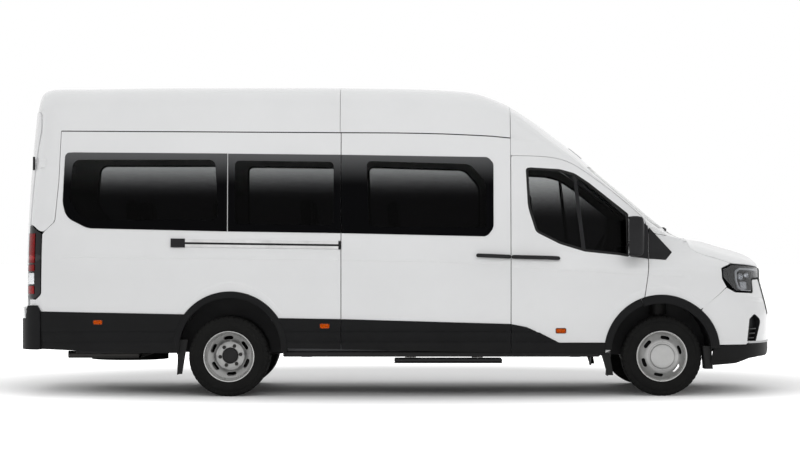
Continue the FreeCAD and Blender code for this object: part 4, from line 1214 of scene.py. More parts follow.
for label, start, end in (("rear", ROOF_SEAMS[0], ROOF_SEAMS[1]), ("front", ROOF_SEAMS[1], ROOF_SEAMS[2])):
    fit(patch(f"roof_{label}_panel", roof_sheet(start, end), list(np.linspace(0, 1000, 29)), ACROSS, 40,
              (WHITE, LINING)),
        "body", label == "rear" and "roof")
LAMP_TOP = smooth_line([(-3300, 1482), (-3180, 1472), (-3078, 1424), (-3058, 1428), (-2966, 1512)])
seam_run = sorted((z, x - 3) for x, z in right_back if z > 1424 and x < -2900)


def corner_seam(z):
    """Where the rear edge of the side panel runs, at a height."""
    return float(np.interp(z, [p[0] for p in seam_run], [p[1] for p in seam_run]))


def tail_u(y, z):
    """Where along the side's run the rear corner comes to a distance y from the middle."""
    share = y / half_width(CORNER_X, z)
    return TAIL_START - float(np.interp(-share, -TAIL_PY, TAIL_RUN))


def cap_end(w):
    """How far back a line of the cap runs before it meets the rear doors."""
    station = SEAM_X - 2.0
    while station > TAIL_START - TAIL_RUN[-1]:
        _, y, z = vault(station, w)
        if abs(y) < np.interp(z, [p[0] for p in door_line], [p[1] for p in door_line], right=0):
            break
        station -= 2.0
    return station


CAP_ENDS = [(float(w), cap_end(w)) for w in ACROSS]


def cap(u, w):
    """The rear cap and, past +-1000, the pillars down to the lamps. u runs from 0 at the seam to 1000."""
    if abs(w) <= 1000:
        end = float(np.interp(w, [c[0] for c in CAP_ENDS], [c[1] for c in CAP_ENDS]))
        return vault(mix(SEAM_X - 2, end, u / 1000), w)
    drop = abs(w) / 1000 - 1
    z = mix(2300, 1426, drop)
    start, end = corner_seam(z) - 3, tail_u(REAR_DOOR_Y, z)
    z = mix(2300, LAMP_TOP(mix(start, end, u / 1000)) + 4, drop)
    x, y, z = side_point(mix(corner_seam(z) - 3, tail_u(REAR_DOOR_Y, z), u / 1000), z)
    return x, copysign(y, w), z


pillar = list(np.linspace(1030, 2000, 26))
columns = [-w for w in pillar[::-1]] + ACROSS + pillar
fit(patch("roof_rear_cap", cap, list(1000 * np.linspace(0, 1, 46) ** 0.85), columns, 30, (WHITE, LINING),
          flip=True), "body")
print("roof pieces on the body:", piece_count["body"])

# %% Roof gutters
RUN_STEP = 40
gutter_line = [(x, GUTTER(x) - 2) for x in (-2936, -1700, -485, -240, 0, 229, 450, 662, 830, 984)]
gutter_line = divided(gutter_line, RUN_STEP, closed=False)
for side, sign, surface, flip in SIDES:
    upper = strip(surface, gutter_line, 0, 4, 30, 0.8, flip)
    lower = strip(surface, gutter_line, -5, -2, 20, 0.4, flip)
    fit(bars(f"{side}_roof_gutter", [upper, lower], (RUBBER,)), "body")
print("two gutters of", len(gutter_line), "points")

# %% [markdown]
# ## Cab shell and windscreen
# The cab shell is one pressing round the windscreen: the roof's brow, the two pillars and their feet. The
# windscreen is a single bowed pane glued into that opening, with a black printed border.

# %% Cab shell
SCREEN_TOP, SCREEN_FOOT = 1762, 2398


def screen_edge(inset):
    """The windscreen's outline on the vault, drawn in by inset."""
    top, foot = SCREEN_TOP + inset, SCREEN_FOOT - inset
    top_w, foot_w = w_at(top, 742 - inset), w_at(foot, 828 - inset)
    return rounded([(top, -top_w, 60), (foot, -foot_w, 50), (foot, foot_w, 50), (top, top_w, 60)])


def at_height(station, z):
    """The w of a vault point at a height, below the crown."""
    share, _, zs = section(station, True)
    return 1000 * (1 - float(np.interp(z, zs, share)))


def cab_face(station, w):
    """The vault with a shallow crease that carries the gutter's line on over the cab door and dies out."""
    x, y, z = vault(station, w, True)
    if abs(y) > 700 and x < 1300:
        y -= copysign(5 * (1 - ease(2, 13, abs(z - GUTTER(x)))) * (1 - ease(1000, 1290, x)), y)
    return x, y, z


cab_outline = [(2446, -1000), (2446, 1000)] + [(seam_station(w, 989, True), w) for w in ACROSS[::-1]]
cab_lines = [[(float(s), float(w)) for s in range(1010, 2440, 30)
              for w in (-985, -960, -930, -900, -870, 870, 900, 930, 960, 985)]]
cab_lines.append([(float(x), sign * at_height(x, GUTTER(x) + d)) for x in range(1020, 1300, 12)
                  for d in (-13, -7, -2, 2, 7, 13) for sign in (-1, 1)])
cab_shell = fit(skin("cab_shell_panel", cab_outline, cab_face, 34, (WHITE, WHITE, LINING), [screen_edge(-3)],
                     cell=40, lines=cab_lines), "body", "cab_shell")
print("cab shell faces:", len(cab_shell.data.polygons))

# %% Windscreen
screen = fit(skin("windscreen_glass", screen_edge(1), vault, 6, (SCREEN_FRIT,) * 3 + (SCREEN_GLASS,), lift=-2,
                  cell=50, zone=screen_edge(46), edge=1.5), "body", "windscreen")
fit(skin("windscreen_seal", screen_edge(-6), vault, 16, (RUBBER,), [screen_edge(34)], lift=-9, cell=60),
    "body")
print("windscreen", [round(v, 2) for v in screen.dimensions])

# %% [markdown]
# ## Bonnet and scuttle
# The bonnet lies between the windscreen's foot, the two wings and the face. Its sides rise straight out of
# the wings and it has a raised centre with a soft crease on each side. It turns with its own hinge, so it is
# a closed shell with a few millimetres of gap all round. The scuttle behind it is the black grille where the
# wipers sit.

# %% Nose wrap
NOSE_END = NOSE_START + float(NOSE_RUN[-1])


def nose(s, z):
    """The nose from the middle outwards: s is the run along it, negative to the right."""
    x, y, z = side_point(NOSE_END - abs(s), z)
    return x, copysign(y, s), z


BONNET_SIDE = [(2527, 1350), (2547, 1300), (2620, 1250), (2700, 1224), (2790, 1202), (2935, 1158),
               (3100, 1146), (3300, 1128), (3420, 1118)]
BONNET_RUN = [0.0]
for a, b in zip(BONNET_SIDE, BONNET_SIDE[1:]):
    BONNET_RUN.append(BONNET_RUN[-1] + dist(a, b))
EDGE_U = smooth_line([(r, p[0]) for r, p in zip(BONNET_RUN, BONNET_SIDE)])
EDGE_Z = smooth_line([(r, p[1]) for r, p in zip(BONNET_RUN, BONNET_SIDE)])
BONNET_LENGTH = BONNET_RUN[-1]


def bonnet_shape(run, t):
    """The bonnet: run goes from the scuttle to the face, t from -1000 at the right to 1000 at the left."""
    run = max(0.0, min(BONNET_LENGTH, run))
    x, y, z = side_point(EDGE_U(run), EDGE_Z(run))
    y -= 4
    share = run / BONNET_LENGTH
    a = abs(t) / 1000
    centre_x = mix(2540, 3221, (x - 2525) / (3180 - 2525))
    crown = BONNET_CROWN(centre_x)
    full = min(0.985, y / WIDTH(z))
    shape = lambda k: max(0.0, 1 - k ** NOSE_POWER) ** (1 / SHOULDER_POWER)
    bulge = (shape(a * full) - shape(full)) / (1 - shape(full))
    rise = 11 * ease(0.02, 0.25, share) * (1 - ease(0.75, 0.98, share))
    dip = 5 * ease(0.56, 0.66, a) * (1 - ease(0.70, 0.9, a)) * ease(0.05, 0.3, share) * \
        (1 - ease(0.7, 0.95, share))
    raised = z + (crown - z) * bulge + rise * (1 - ease(0.50, 0.60, a) - bulge) - dip
    return x + (centre_x - x) * (1 - a ** NOSE_POWER), y * t / 1000, raised


runs = list(np.linspace(0, BONNET_LENGTH, 44))
ts = list(np.linspace(-1000, 1000, 91))
bonnet = fit(patch("bonnet_panel", bonnet_shape, runs, ts, 22, (WHITE, PRIMER)), "bonnet", "bonnet")
print("bonnet", [round(v, 3) for v in bonnet.dimensions])

# %% Scuttle
def scuttle_shape(run, t):
    """Between the windscreen's foot and the bonnet's rear edge."""
    a = abs(t) / 1000
    y = 905 * a
    station = SCREEN_FOOT + 8
    back = Vector((station - bow_back(y, station), y, ROOF_LINE(station) - 6 - 26 * ease(0.82, 1, a)))
    front = Vector(bonnet_shape(0, min(1000, 1000 * a * 905 / 875))) - Vector((9, 0, 5))
    p = back.lerp(front, run / 1000)
    p.z -= 10 * sin(pi * run / 1000)
    return p.x, copysign(y, t), p.z


for label, start, end, paint in (("panel", -760, 760, BLACK), ("right_corner", -1000, -763, WHITE),
                                 ("left_corner", 763, 1000, WHITE)):
    scuttle = fit(patch(f"scuttle_{label}", scuttle_shape, list(np.linspace(0, 1000, 9)),
                        list(np.linspace(start, end, 41 if paint is BLACK else 13)),
                        8, (paint,)), "body")
print("scuttle", [round(v, 3) for v in scuttle.dimensions])

# %% [markdown]
# ## Front doors
# A cab door is one closed shell with a window opening, a frame above it and a cut for the front wheel arch
# below. The glass stands a little inside the frame, behind a black seal.

# %% Front doors
DOOR_WINDOW = [(1119, 1976, 64), (1163, 1981), (1414, 1967, 120), (1543, 1932, 200), (1673, 1846),
               (2010, 1580, 30), (2019, 1206, 20), (1930, 1222, 120), (1630, 1253), (1414, 1318, 300),
               (1206, 1422, 70), (1137, 1640, 400)]
FRONT_EDGE = [(2129, 785, 60), (2147, 877), (2173, 1050), (2182, 1186), (2182, 1400, 30)]
door_top = [(x, DOOR_TOP(x) - 3) for x in range(2150, 1000, -24)] + [(992, DOOR_TOP(992) - 3, 20)]
door_arch = [p for p in arch(FRONT_ARCH, FRONT_ARCH_R + 14, 400)[::-1] if p[0] < 2120]
DOOR_EDGE = [(992, 376, 16), (1796, 373)] + [(x, z) for x, z in door_arch if x < 2118]
DOOR_EDGE += [(x - 3, z, *r) for x, z, *r in FRONT_EDGE] + door_top
window = rounded(DOOR_WINDOW)
for side, sign, surface, flip in SIDES:
    door = fit(skin(f"{side}_cab_door_panel", rounded(DOOR_EDGE), surface, 46, (WHITE, WHITE, TRIM), [window],
                    lines=CREASES, flip=flip), f"front_{side}_door", f"front_{side}_door")
    fit(skin(f"{side}_cab_door_glass", shifted(window, 8), surface, 4, (CAB_GLASS_WITH_PAINTED_REFLECTION,), lift=-10, cell=60,
             flip=flip), f"front_{side}_door", f"front_{side}_window")
    fit(skin(f"{side}_cab_door_seal", shifted(window, -2), surface, 16, (RUBBER,), [shifted(window, 21)],
             lift=0, cell=60, flip=flip), f"front_{side}_door")
    post = [(1527, 1940), (1556, 1936), (1640, 1256), (1606, 1256)]
    fit(skin(f"{side}_quarter_post", post, surface, 10, (BLACK,), lift=-3, flip=flip), f"front_{side}_door")
print("cab doors", [round(v, 3) for v in door.dimensions])

# %% [markdown]
# ## Front wings
# Each wing runs from the door round the wheel arch to the headlamp, and up to the bonnet and the pillar's
# foot.

# %% Front wings
LAMP = [(1206, 1110, 16), (1091, 1150, 18), (615, 1116, 10), (640, 1040, 14), (716, 1014, 10),
        (868, 1010, 24), (893, 893, 24), (1097, 903, 50), (1205, 1024, 40)]
wing_arch = [p for p in arch(FRONT_ARCH, FRONT_ARCH_R + 14, 388) if p[0] > 2126 and p[1] > 700]
WING_FRONT = 2648
wing = [(x + 3, z, *r) for x, z, *r in FRONT_EDGE]
wing += [(2190, 1432)] + [(x, DOOR_TOP(x) - 4) for x in range(2220, 2510, 40)]
wing += [(2521, 1346), (2541, 1294), (2614, 1245), (2697, 1219), (2786, 1196), (2928, 1151, 4)]
wing += [(2824 - 3, 1112, 16), (2824 - 3, 1022), (2856, 947)]
wing += [(WING_FRONT, 772)] + [p for p in wing_arch if p[0] < WING_FRONT - 8]
for side, sign, surface, flip in SIDES:
    panel = fit(skin(f"{side}_wing_panel", rounded(wing), surface, 30, (WHITE, WHITE, PRIMER), lines=CREASES,
                     flip=flip), "body", side == "right" and "front_wings")
print("wing", [round(v, 3) for v in panel.dimensions])

# %% [markdown]
# ## Front bumper
# The painted bumper is one moulding that wraps the nose from arch to arch, with a notch for the grille, the
# headlamps' undersides and two upright recesses for the fog lamps. Its lower third is a separate black skirt
# that takes the knocks, with an air intake in the middle.

# %% Bumper outlines
def both(loop):
    """A half outline from the middle outwards and back, closed through its mirror image."""
    return loop + mirrored(loop[::-1])


def nose_s(x):
    return NOSE_END - x


bumper_arch = [(nose_s(x), z) for x, z in arch(FRONT_ARCH, FRONT_ARCH_R + 14, 446) if x > 2592]
bumper_half = [(0, 462), (980, 466, 10), (1004, 446, 10)] + bumper_arch
bumper_half += [(nose_s(WING_FRONT - 4), 770), (1171, 941), (1097, 899, 50), (889, 889, 24), (862, 1006, 24),
                (736, 1008, 10), (717, 985), (708, 896, 60), (662, 760, 30), (600, 690, 40), (0, 690)]
FOG = [(913, 712, 26), (815, 655, 40), (885, 462), (994, 462), (976, 668, 20)]
GRILLE = [(640, 1106, 18), (711, 1022, 30), (701, 896, 60), (655, 763, 30), (594, 697, 40)]
SKIRT = [(0, 458), (978, 462, 8), (1000, 441, 8), (1279, 441), (1303, 388), (1316, 268, 14), (1100, 284, 60),
         (963, 326, 40), (825, 338), (0, 352)]
print("bumper runs", round(bumper_half[0][0]), "to", round(max(p[0] for p in bumper_half)), "mm each side")

# %% Front bumper
def cheek(s, z):
    """The nose with a ridge under each headlamp and a hollow below it, down to the fog recess."""
    x, y, z = nose(s, z)
    a = abs(s)
    ridge = 9 * (1 - ease(0, 26, abs(z - mix(872, 840, ease(1100, 700, a))))) * ease(690, 760, a) * \
        (1 - ease(1020, 1180, a))
    hollow = 8 * ease(700, 760, z) * (1 - ease(800, 850, z)) * ease(680, 800, a) * (1 - ease(960, 1120, a))
    pull = (ridge - hollow) * (1 if z < 900 else 0)
    return x + pull, y + copysign(pull * 0.5, s), z


ridge_lines = [[(sign * s, z) for s in range(680, 1180, 24) for z in range(690, 890, 12)] for sign in (-1, 1)]
fogs = [rounded(mirrored(FOG, sign)) for sign in (-1, 1)]
bumper_loop = rounded(both(bumper_half))
bumper = fit(skin("front_bumper_cover", bumper_loop, cheek, 8, (WHITE, WHITE, BLACK),
                  [[(sx, max(sz, 474)) for sx, sz in loop] for loop in fogs],
                  lines=ridge_lines, cell=40), "body", "front_bumper")
print("bumper", [round(v, 3) for v in bumper.dimensions])

# %% Front skirt
intake = rounded([(-520, 438, 10), (520, 438, 10), (470, 392, 10), (-470, 392, 10)])
skirt = fit(skin("front_skirt", rounded(both(SKIRT)), nose, 20, (DARK_GREY,), [intake], lift=6, cell=40),
            "body")
strips = [strip(nose, [(a, 463) for a in range(-985, 986, 30)], -6, 9, 16, 9)]
fit(bars("bumper_lip", strips, (PRIMER,), smooth=True), "body")
bars_in = [strip(nose, [(a, z) for a in range(-500, 501, 40)], -3, 3, 18, -6) for z in (402, 415, 428)]
fit(bars("skirt_intake_bars", bars_in, (BLACK,)), "body")
print("skirt", [round(v, 3) for v in skirt.dimensions])

# %% Fog recesses
def span_at(loop, z):
    """The least and greatest place where an outline crosses a height."""
    found = [mix(a[0], b[0], (z - a[1]) / (b[1] - a[1])) for a, b in zip(loop, loop[1:] + loop[:1])
             if (a[1] - z) * (b[1] - z) <= 0 and a[1] != b[1]]
    return min(found), max(found)


for side, loop in zip(("right", "left"), fogs):
    sign = -1 if side == "right" else 1
    fit(skin(f"{side}_fog_tray", shifted(loop, -3), nose, 4, (BLACK,), lift=-52), "body")
    fit(skin(f"{side}_fog_wall", shifted(loop, -2), nose, 50, (BLACK,), [shifted(loop, 5)], lift=-4), "body")
    slats = []
    for z in (500, 540, 580):
        a, b = span_at(loop, z)
        slats.append(strip(nose, [(mix(a, b, k / 6), z) for k in range(7)], -5, 5, 24, -16))
    fit(bars(f"{side}_fog_slats", slats, (GLOSS_BLACK,)), "body")
print("fog recesses made")

# %% [markdown]
# ## Grille
# The grille is a wide hexagon: a glossy frame, and behind it a lattice of level bars and short uprights.
# There is no badge: the middle is left plain.

# %% Grille
grille_loop = rounded(both(GRILLE))
fit(skin("grille_frame", grille_loop, nose, 40, (GLOSS_BLACK,), [shifted(grille_loop, 34)], lift=5, cell=40),
    "body", "grille")
fit(skin("grille_back", shifted(grille_loop, 3), nose, 4, (BLACK,), lift=-58, cell=60), "body")
lattice = []
levels = [730 + 46 * k for k in range(8)]
for k, z in enumerate(levels):
    reach = span_at(grille_loop, z)[1] - 26
    count = max(8, int(reach / 22))
    lattice.append(strip(nose, [(mix(-reach, reach, i / count), z) for i in range(count + 1)], -8, 8, 30, -6))
    if k + 1 < len(levels):
        reach = min(reach, span_at(grille_loop, levels[k + 1])[1] - 26)
        offset = 0 if k % 2 else 34
        for sv in range(-int(reach // 68) * 68 - offset, int(reach) + 1, 68):
            if abs(sv) < reach - 8:
                lattice.append(strip(nose, [(sv - 5, z + 23), (sv + 5, z + 23)], -17, 17, 20, -14))
fit(bars("grille_lattice", lattice, (GLOSS_BLACK,)), "body")
print("grille bars:", len(lattice))

# %% [markdown]
# ## Headlamps
# A headlamp is a clear, slightly smoked cover over a dark housing. Inside are a C-shaped light guide, two
# projector lenses in bright bezels and a ribbed turn indicator.

# %% Headlamp helpers
def dome(at, axis, radius, height, steps=28, rings=7, base=0.0):
    """Verts and faces of a shallow closed dome that faces along axis."""
    axis = Vector(axis).normalized()
    across = axis.orthogonal().normalized()
    up = axis.cross(across)
    at = Vector(at)
    verts, faces = [], []
    for r in range(rings):
        a = pi / 2 * r / rings
        for k in range(steps):
            t = 2 * pi * k / steps
            verts.append(at + (across * cos(t) + up * sin(t)) * radius * cos(a) +
                         axis * height * sin(a))
    verts.append(at + axis * height)
    for k in range(steps):
        verts.append(verts[k] - axis * base)
    top, low = rings * steps, rings * steps + 1
    for r in range(rings - 1):
        for k in range(steps):
            m = (k + 1) % steps
            faces.append([r * steps + k, r * steps + m, (r + 1) * steps + m, (r + 1) * steps + k])
    for k in range(steps):
        m = (k + 1) % steps
        faces.append([(rings - 1) * steps + k, (rings - 1) * steps + m, top])
        faces.append([low + k, low + m, m, k])
    faces.append([low + k for k in range(steps)][::-1])
    return verts, faces


def on_nose(s, z, depth):
    p, n = frame_at(nose, s, z, False)
    return p + n * depth, n


SMOKED = clear("smoked lamp cover", (0.62, 0.63, 0.65))

# %% Headlamps
for side, sign, surface, flip in SIDES:
    outline = rounded(mirrored(LAMP, sign))
    inner = shifted(outline, 4)
    fit(skin(f"{side}_headlamp_housing", inner, nose, 6, (GLOSS_BLACK,), lift=-64, cell=40), "body",
        side == "right" and "headlamps")
    fit(skin(f"{side}_headlamp_wall", inner, nose, 62, (GLOSS_BLACK,), [shifted(outline, 12)], lift=-5),
        "body")
    fit(skin(f"{side}_headlamp_cover", shifted(outline, 1.5), nose, 4, (FRIT_WITH_PAINTED_REFLECTION, FRIT_WITH_PAINTED_REFLECTION, FRIT_WITH_PAINTED_REFLECTION, SMOKED), lift=0.5,
             cell=40, zone=shifted(outline, 13), edge=1.5), "body", slot="clear_lens")
    path = rounded([(660, 1094), (1010, 1108, 30), (1058, 1084, 20), (1064, 1010), (1046, 935, 30),
                    (1010, 917, 30), (905, 908)], closed=False)
    guide_path = [on_nose(sign * sv, z, -16)[0] for sv, z in divided(path, 24, closed=False)]
    fit(bars(f"{side}_light_guide", [tube(guide_path, 9.5)], (LIGHT_PIPE,), smooth=True), "body")
    bezels, lenses = [], []
    for sv, z, r in ((985, 1035, 37), (880, 1052, 30)):
        at, n = on_nose(sign * sv, z, -44)
        ahead = (n + Vector((1.6, 0, 0))).normalized()
        bezels.append(tube([at - ahead * 18, at + ahead * 6, at + ahead * 6], [r + 6, r + 8, r + 8], 30))
        lenses.append(dome(at + ahead * 6, ahead, r, r * 0.45, base=2))
    fit(bars(f"{side}_projector_bezels", bezels, (REFLECTOR,), smooth=True), "body")
    fit(bars(f"{side}_projector_lenses", lenses, (LENS,), smooth=True), "body")
    ribs = []
    for k in range(9):
        z = 932 + 7 * k
        ribs.append(strip(nose, [(sign * mix(915, 1010, j / 5), z) for j in range(6)], -2.6, 2.6, 22, -30))
    fit(bars(f"{side}_indicator_ribs", ribs, (REFLECTOR,)), "body")
print("two headlamps")

# %% [markdown]
# ## Rear doors
# Two tall doors close the back. Each is a closed shell with a window opening. They hang on outside hinges,
# lean with the rear wall and meet at a narrow seam in the middle, which a rubber strip on the left door
# covers from inside. A black flange round each opening carries the glass. Another strip backs each corner
# seam.

# %% Rear doors
REAR_WINDOW = [(110, 1440, 60), (765, 1440, 60), (742, 2120, 70), (110, 2120, 60)]


def door_face(y, z):
    """The rear wall as the doors follow it, with a shallow upright groove beside the handle."""
    x, y, z = rear_face(y, z)
    panel_edge = 1 - ease(0, 14, min(abs(abs(y) - 78), 40) + 200 * (z > 1330 or z < 760))
    return x - 3 + 3 * panel_edge, y, z


for side, sign in (("left", 1), ("right", -1)):
    outline, glass_line = rounded(mirrored(REAR_DOOR, sign)), rounded(mirrored(REAR_WINDOW, sign))
    door = fit(skin(f"{side}_rear_door_panel", outline, door_face, 50, (WHITE, WHITE, LINING),
                    [shifted(glass_line, -2)], lift=3,
                    cell=44, flip=True), f"rear_{side}_door", f"rear_{side}_door")
    fit(skin(f"{side}_rear_door_flange", shifted(glass_line, -1.5), door_face, 8, (BLACK,),
             [shifted(glass_line, 22)], lift=-2, cell=70, flip=True, edge=1), f"rear_{side}_door")
    fit(skin(f"{side}_rear_door_glass", glass_line, door_face, 4.3, GLASS_SET, lift=2.6, cell=70,
             zone=shifted(glass_line, 46), flip=True, edge=1.2), f"rear_{side}_door", f"rear_{side}_window")
fit(skin("rear_door_overlap", [(-20, 800), (20, 800), (20, 2210), (-20, 2210)], rear_face, 6, (RUBBER,),
         lift=-50, flip=True), "rear_left_door")
for side, sign, surface, flip in SIDES:
    backing = [(-2972, 1530), (-2914, 1530), (-2914, 2280), (-2972, 2280)]
    fit(skin(f"{side}_corner_backing", backing, surface, 5, (LINING,), lift=-46, flip=flip), "body")
print("rear doors", [round(v, 3) for v in door.dimensions])

# %% [markdown]
# ## Rear lamps
# Each rear lamp wraps the corner. Its side is a dark housing, and its lenses face backwards: red above, clear
# for the reversing lamp, red below.

# %% Rear lamps
REAR_LAMP = [(-3300, 1474), (-3180, 1466), (-3082, 1408, 20), (-3082, 882, 40), (-3134, 846, 20),
             (-3300, 848)]
for side, sign, surface, flip in SIDES:
    edge_u = tail_u(888, 1150)
    outline = [(max(p[0], edge_u) if p[0] < -3190 else p[0], *p[1:]) for p in REAR_LAMP]
    outline = rounded(outline)
    fit(skin(f"{side}_rear_lamp_housing", outline, surface, 46, (GLOSS_BLACK,), lift=4, cell=40, flip=flip),
        "body", side == "right" and "rear_lamps")
    start = -3142
    zones = (("upper", 1150, 1412, RED), ("middle", 1080, 1142, RED), ("clear", 966, 1070, LENS),
             ("lower", 884, 958, RED))
    for label, low, high, finish_now in zones:
        loop = rounded([(start, low, 8), (edge_u + 6, low, 8), (edge_u + 6, high, 8), (start, high, 8)])
        fit(skin(f"{side}_rear_lamp_{label}", loop, surface, 7, (finish_now,), lift=9.5, cell=30, flip=flip),
            "body")
        fit(skin(f"{side}_rear_lamp_{label}_reflector", shifted(loop, 3), surface, 1.5, (REFLECTOR,), lift=6,
                 cell=30, flip=flip), "body")
print("rear lamps from z", REAR_LAMP[4][1], "to", REAR_LAMP[0][1])

# %% [markdown]
# ## Rear bumper
# A white band closes the top of the bumper between black corner mouldings. Below it a deep black moulding
# carries the entry step, with a notch in the middle for the tow plate.

# %% Rear bumper
TAIL_END = TAIL_START - float(TAIL_RUN[-1])


def tail(s, z):
    """The tail from the middle outwards, standing proud of the rear wall as the bumper does."""
    x, y, _ = side_point(TAIL_END + abs(s), max(z, 600))
    return x - 20 * ease(3080, 3200, -x), copysign(y, s), z


def tail_s(x):
    return x - TAIL_END


half = [(118, 402), (tail_s(-3078), 404, 20), (tail_s(-3078), 742), (tail_s(-3106), 785, 10),
        (tail_s(-3190), 785, 10), (908, 668, 10)]
body_loop = rounded(both(half) + [(-118, 548, 10), (118, 548, 10)])
moulding = fit(skin("rear_bumper_moulding", body_loop, tail, 60, (DARK_GREY,), lift=24, cell=50, flip=True),
               "body", "rear_bumper")
fit(skin("rear_bumper_band", rounded([(-902, 674, 6), (902, 674, 6), (880, 770, 16), (-880, 770, 16)]), tail,
         34, (WHITE,), lift=22, cell=60, flip=True), "body")
print("rear bumper", [round(v, 3) for v in moulding.dimensions])

# %% [markdown]
# ## Side cladding, flares and sill bars
# Dark grey mouldings guard the lower sides. Each is a thin shell standing 12 mm proud, with two shallow
# grooves along it, and a wider lip round each wheel arch. The pieces split where the doors split, and each
# rides on the panel it is fixed to.

# %% Cladding
CLADDING_TOP = [(-3074, 735), (-1907, 712), (-1019, 679), (-478, 669), (988, 627), (1125, 600),
                (1279, 530, 120), (1411, 463, 60), (1789, 461)]
CLADDING_LOW = [(-3074, 411), (-2786, 398), (-1890, 376), (-934, 416), (-481, 410), (894, 376), (1801, 372)]
top_straight = lambda x: float(np.interp(x, [p[0] for p in CLADDING_TOP], [p[1] for p in CLADDING_TOP]))
low_straight = lambda x: float(np.interp(x, [p[0] for p in CLADDING_LOW], [p[1] for p in CLADDING_LOW]))


def guard(surface):
    """The side surface with two shallow level grooves pressed in."""
    def shape(u, z):
        x, y, z = surface(u, z)
        groove = sum(3.5 * (1 - ease(4, 11, abs(z - level))) for level in (468, 556))
        return x, y - copysign(groove, y), z
    return shape


def cladding_end(x):
    """One end of a cladding piece from its foot up: plain, or curved round the rear arch under the flare."""
    low, top = low_straight(x), top_straight(x)
    if x not in (-1890, -990):
        return [(x, low), (x, top)]
    reach = copysign(1, x - REAR_ARCH[0])
    return [(REAR_ARCH[0] + reach * sqrt(470 ** 2 - (z - REAR_ARCH[1]) ** 2), float(z))
            for z in np.linspace(low, top, 9)]


def cladding_loop(start, end):
    top = [(x, z, 60 if 1000 < x < 1500 else 0) for x, z, *_ in CLADDING_TOP if start + 4 < x < end - 4]
    low = [(x, z) for x, z in CLADDING_LOW if start + 4 < x < end - 4]
    return rounded(low + cladding_end(end) + top[::-1] + cladding_end(start)[::-1])


spans = {"right": ((-3074, -1890, "body"), (-990, -484, "body"), (-478, 986, "body"),
                   (992, 1806, "front_right_door")),
         "left": ((-3074, -1890, "body"), (-990, 986, "body"), (992, 1806, "front_left_door"))}
groove_lines = [[(x, z + d) for x in range(-3070, 1810, 24) for z in (468, 556)
                 for d in (-11, -7, -4, 4, 7, 11)]]
for side, sign, surface, flip in SIDES:
    for k, (start, end, body) in enumerate(spans[side]):
        fit(skin(f"{side}_cladding_{k + 1}", cladding_loop(start, end), guard(surface), 16, (DARK_GREY,),
                 lift=12, cell=60, lines=groove_lines, edge=4, flip=flip), body)
print("cladding pieces:", sum(len(v) for v in spans.values()))

# %% Arch flares
def flare(surface, centre, inner, outer, start, end, lift, flip, steps=60):
    """A curved lip round an arch, between two angles: rounded outside, rolled in at the opening."""
    section_line = [(0.0, -48), (0.0, 0.75), (0.12, 1.0), (0.55, 1.0), (0.9, 0.8), (1.0, 0.35), (1.0, -0.3)]
    cx, cz = centre
    verts = []
    for k in range(steps + 1):
        a = mix(start, end, k / steps)
        for share, height in section_line:
            r = mix(inner, outer, share)
            p, n = frame_at(surface, cx + r * cos(a), cz + r * sin(a), flip)
            proud = lift + 9 * ease(2570, 2640, p.x)
            verts.append(p + n * (height if height < -1 else height * proud))
    return verts, ring_faces(steps + 1, len(section_line))


DOOR_CUT = radians(111)
for side, sign, surface, flip in SIDES:
    for label, body, arch_at, inner, outer, start, end, proud, steps in (
            ("rear", "body", REAR_ARCH, REAR_ARCH_R - 6, REAR_FLARE_R, radians(-4), radians(184), 20, 60),
            ("front", "body", FRONT_ARCH, FRONT_ARCH_R - 2, FRONT_FLARE_R, radians(4), DOOR_CUT, 19, 40),
            ("door", f"front_{side}_door", FRONT_ARCH, FRONT_ARCH_R + 11, FRONT_FLARE_R, DOOR_CUT + 0.006,
             radians(178), 19, 30)):
        lip = flare(surface, arch_at, inner, outer, start, end, proud, flip, steps)
        fit(bars(f"{side}_{label}_arch_flare", [lip], (DARK_GREY,), smooth=True), body)
print("flares made")

# %% [markdown]
# ## Doors' small parts
# The slide rail is a brushed channel with a dark slot and black end caps. The two black handles sit in line,
# one on each side of the door gap, each over a shallow cup. The front doors carry mirrors on short arms, with
# a black sail at their foot. Amber markers sit in the cladding.

# %% Slide rail
def rail_line(x):
    return mix(1327, 1307, (x + 1949) / 1469)


def along_rail(*places):
    return divided([(x, rail_line(x)) for x in places], RUN_STEP, closed=False)


rail_run = along_rail(*range(-1830, -500, 60), -500)
fit(bars("slide_rail", [strip(right_side, rail_run, 8, 33, 14, 13),
                        strip(right_side, rail_run, -33, -10, 14, 13)], (RAIL,)), "body")
fit(bars("slide_rail_slot", [strip(right_side, rail_run, -10.5, 8.5, 10, 7)], (BLACK,)), "body")
caps = [strip(right_side, along_rail(-1952, -1890, -1828), -38, 38, 20, 17),
        strip(right_side, along_rail(-503, -484), -36, 36, 20, 16)]
fit(bars("slide_rail_caps", caps, (BLACK,)), "body")
print("slide rail 1.45 m long")

# %% Door handles
def handle_bar(surface, flip, start, end, z0, z1):
    """A bowed bar with rounded ends, standing off the door."""
    stops = [0, 0.008, 0.03] + [k / 16 for k in range(1, 16)] + [0.97, 0.992, 1]
    sizes = [8, 13, 14.5] + [15] * 15 + [14.5, 13, 8]
    path = []
    for t in stops:
        p, n = frame_at(surface, mix(start, end, t), mix(z0, z1, t), flip)
        path.append(p + n * (16 + 22 * sin(pi * t) ** 0.35))
    verts, faces = tube(path, sizes, 14)
    centre = [path[i // 14] for i in range(len(stops) * 14)]
    return [Vector((v.x, v.y, c.z + (v.z - c.z) * 1.15)) for v, c in zip(verts, centre)], faces


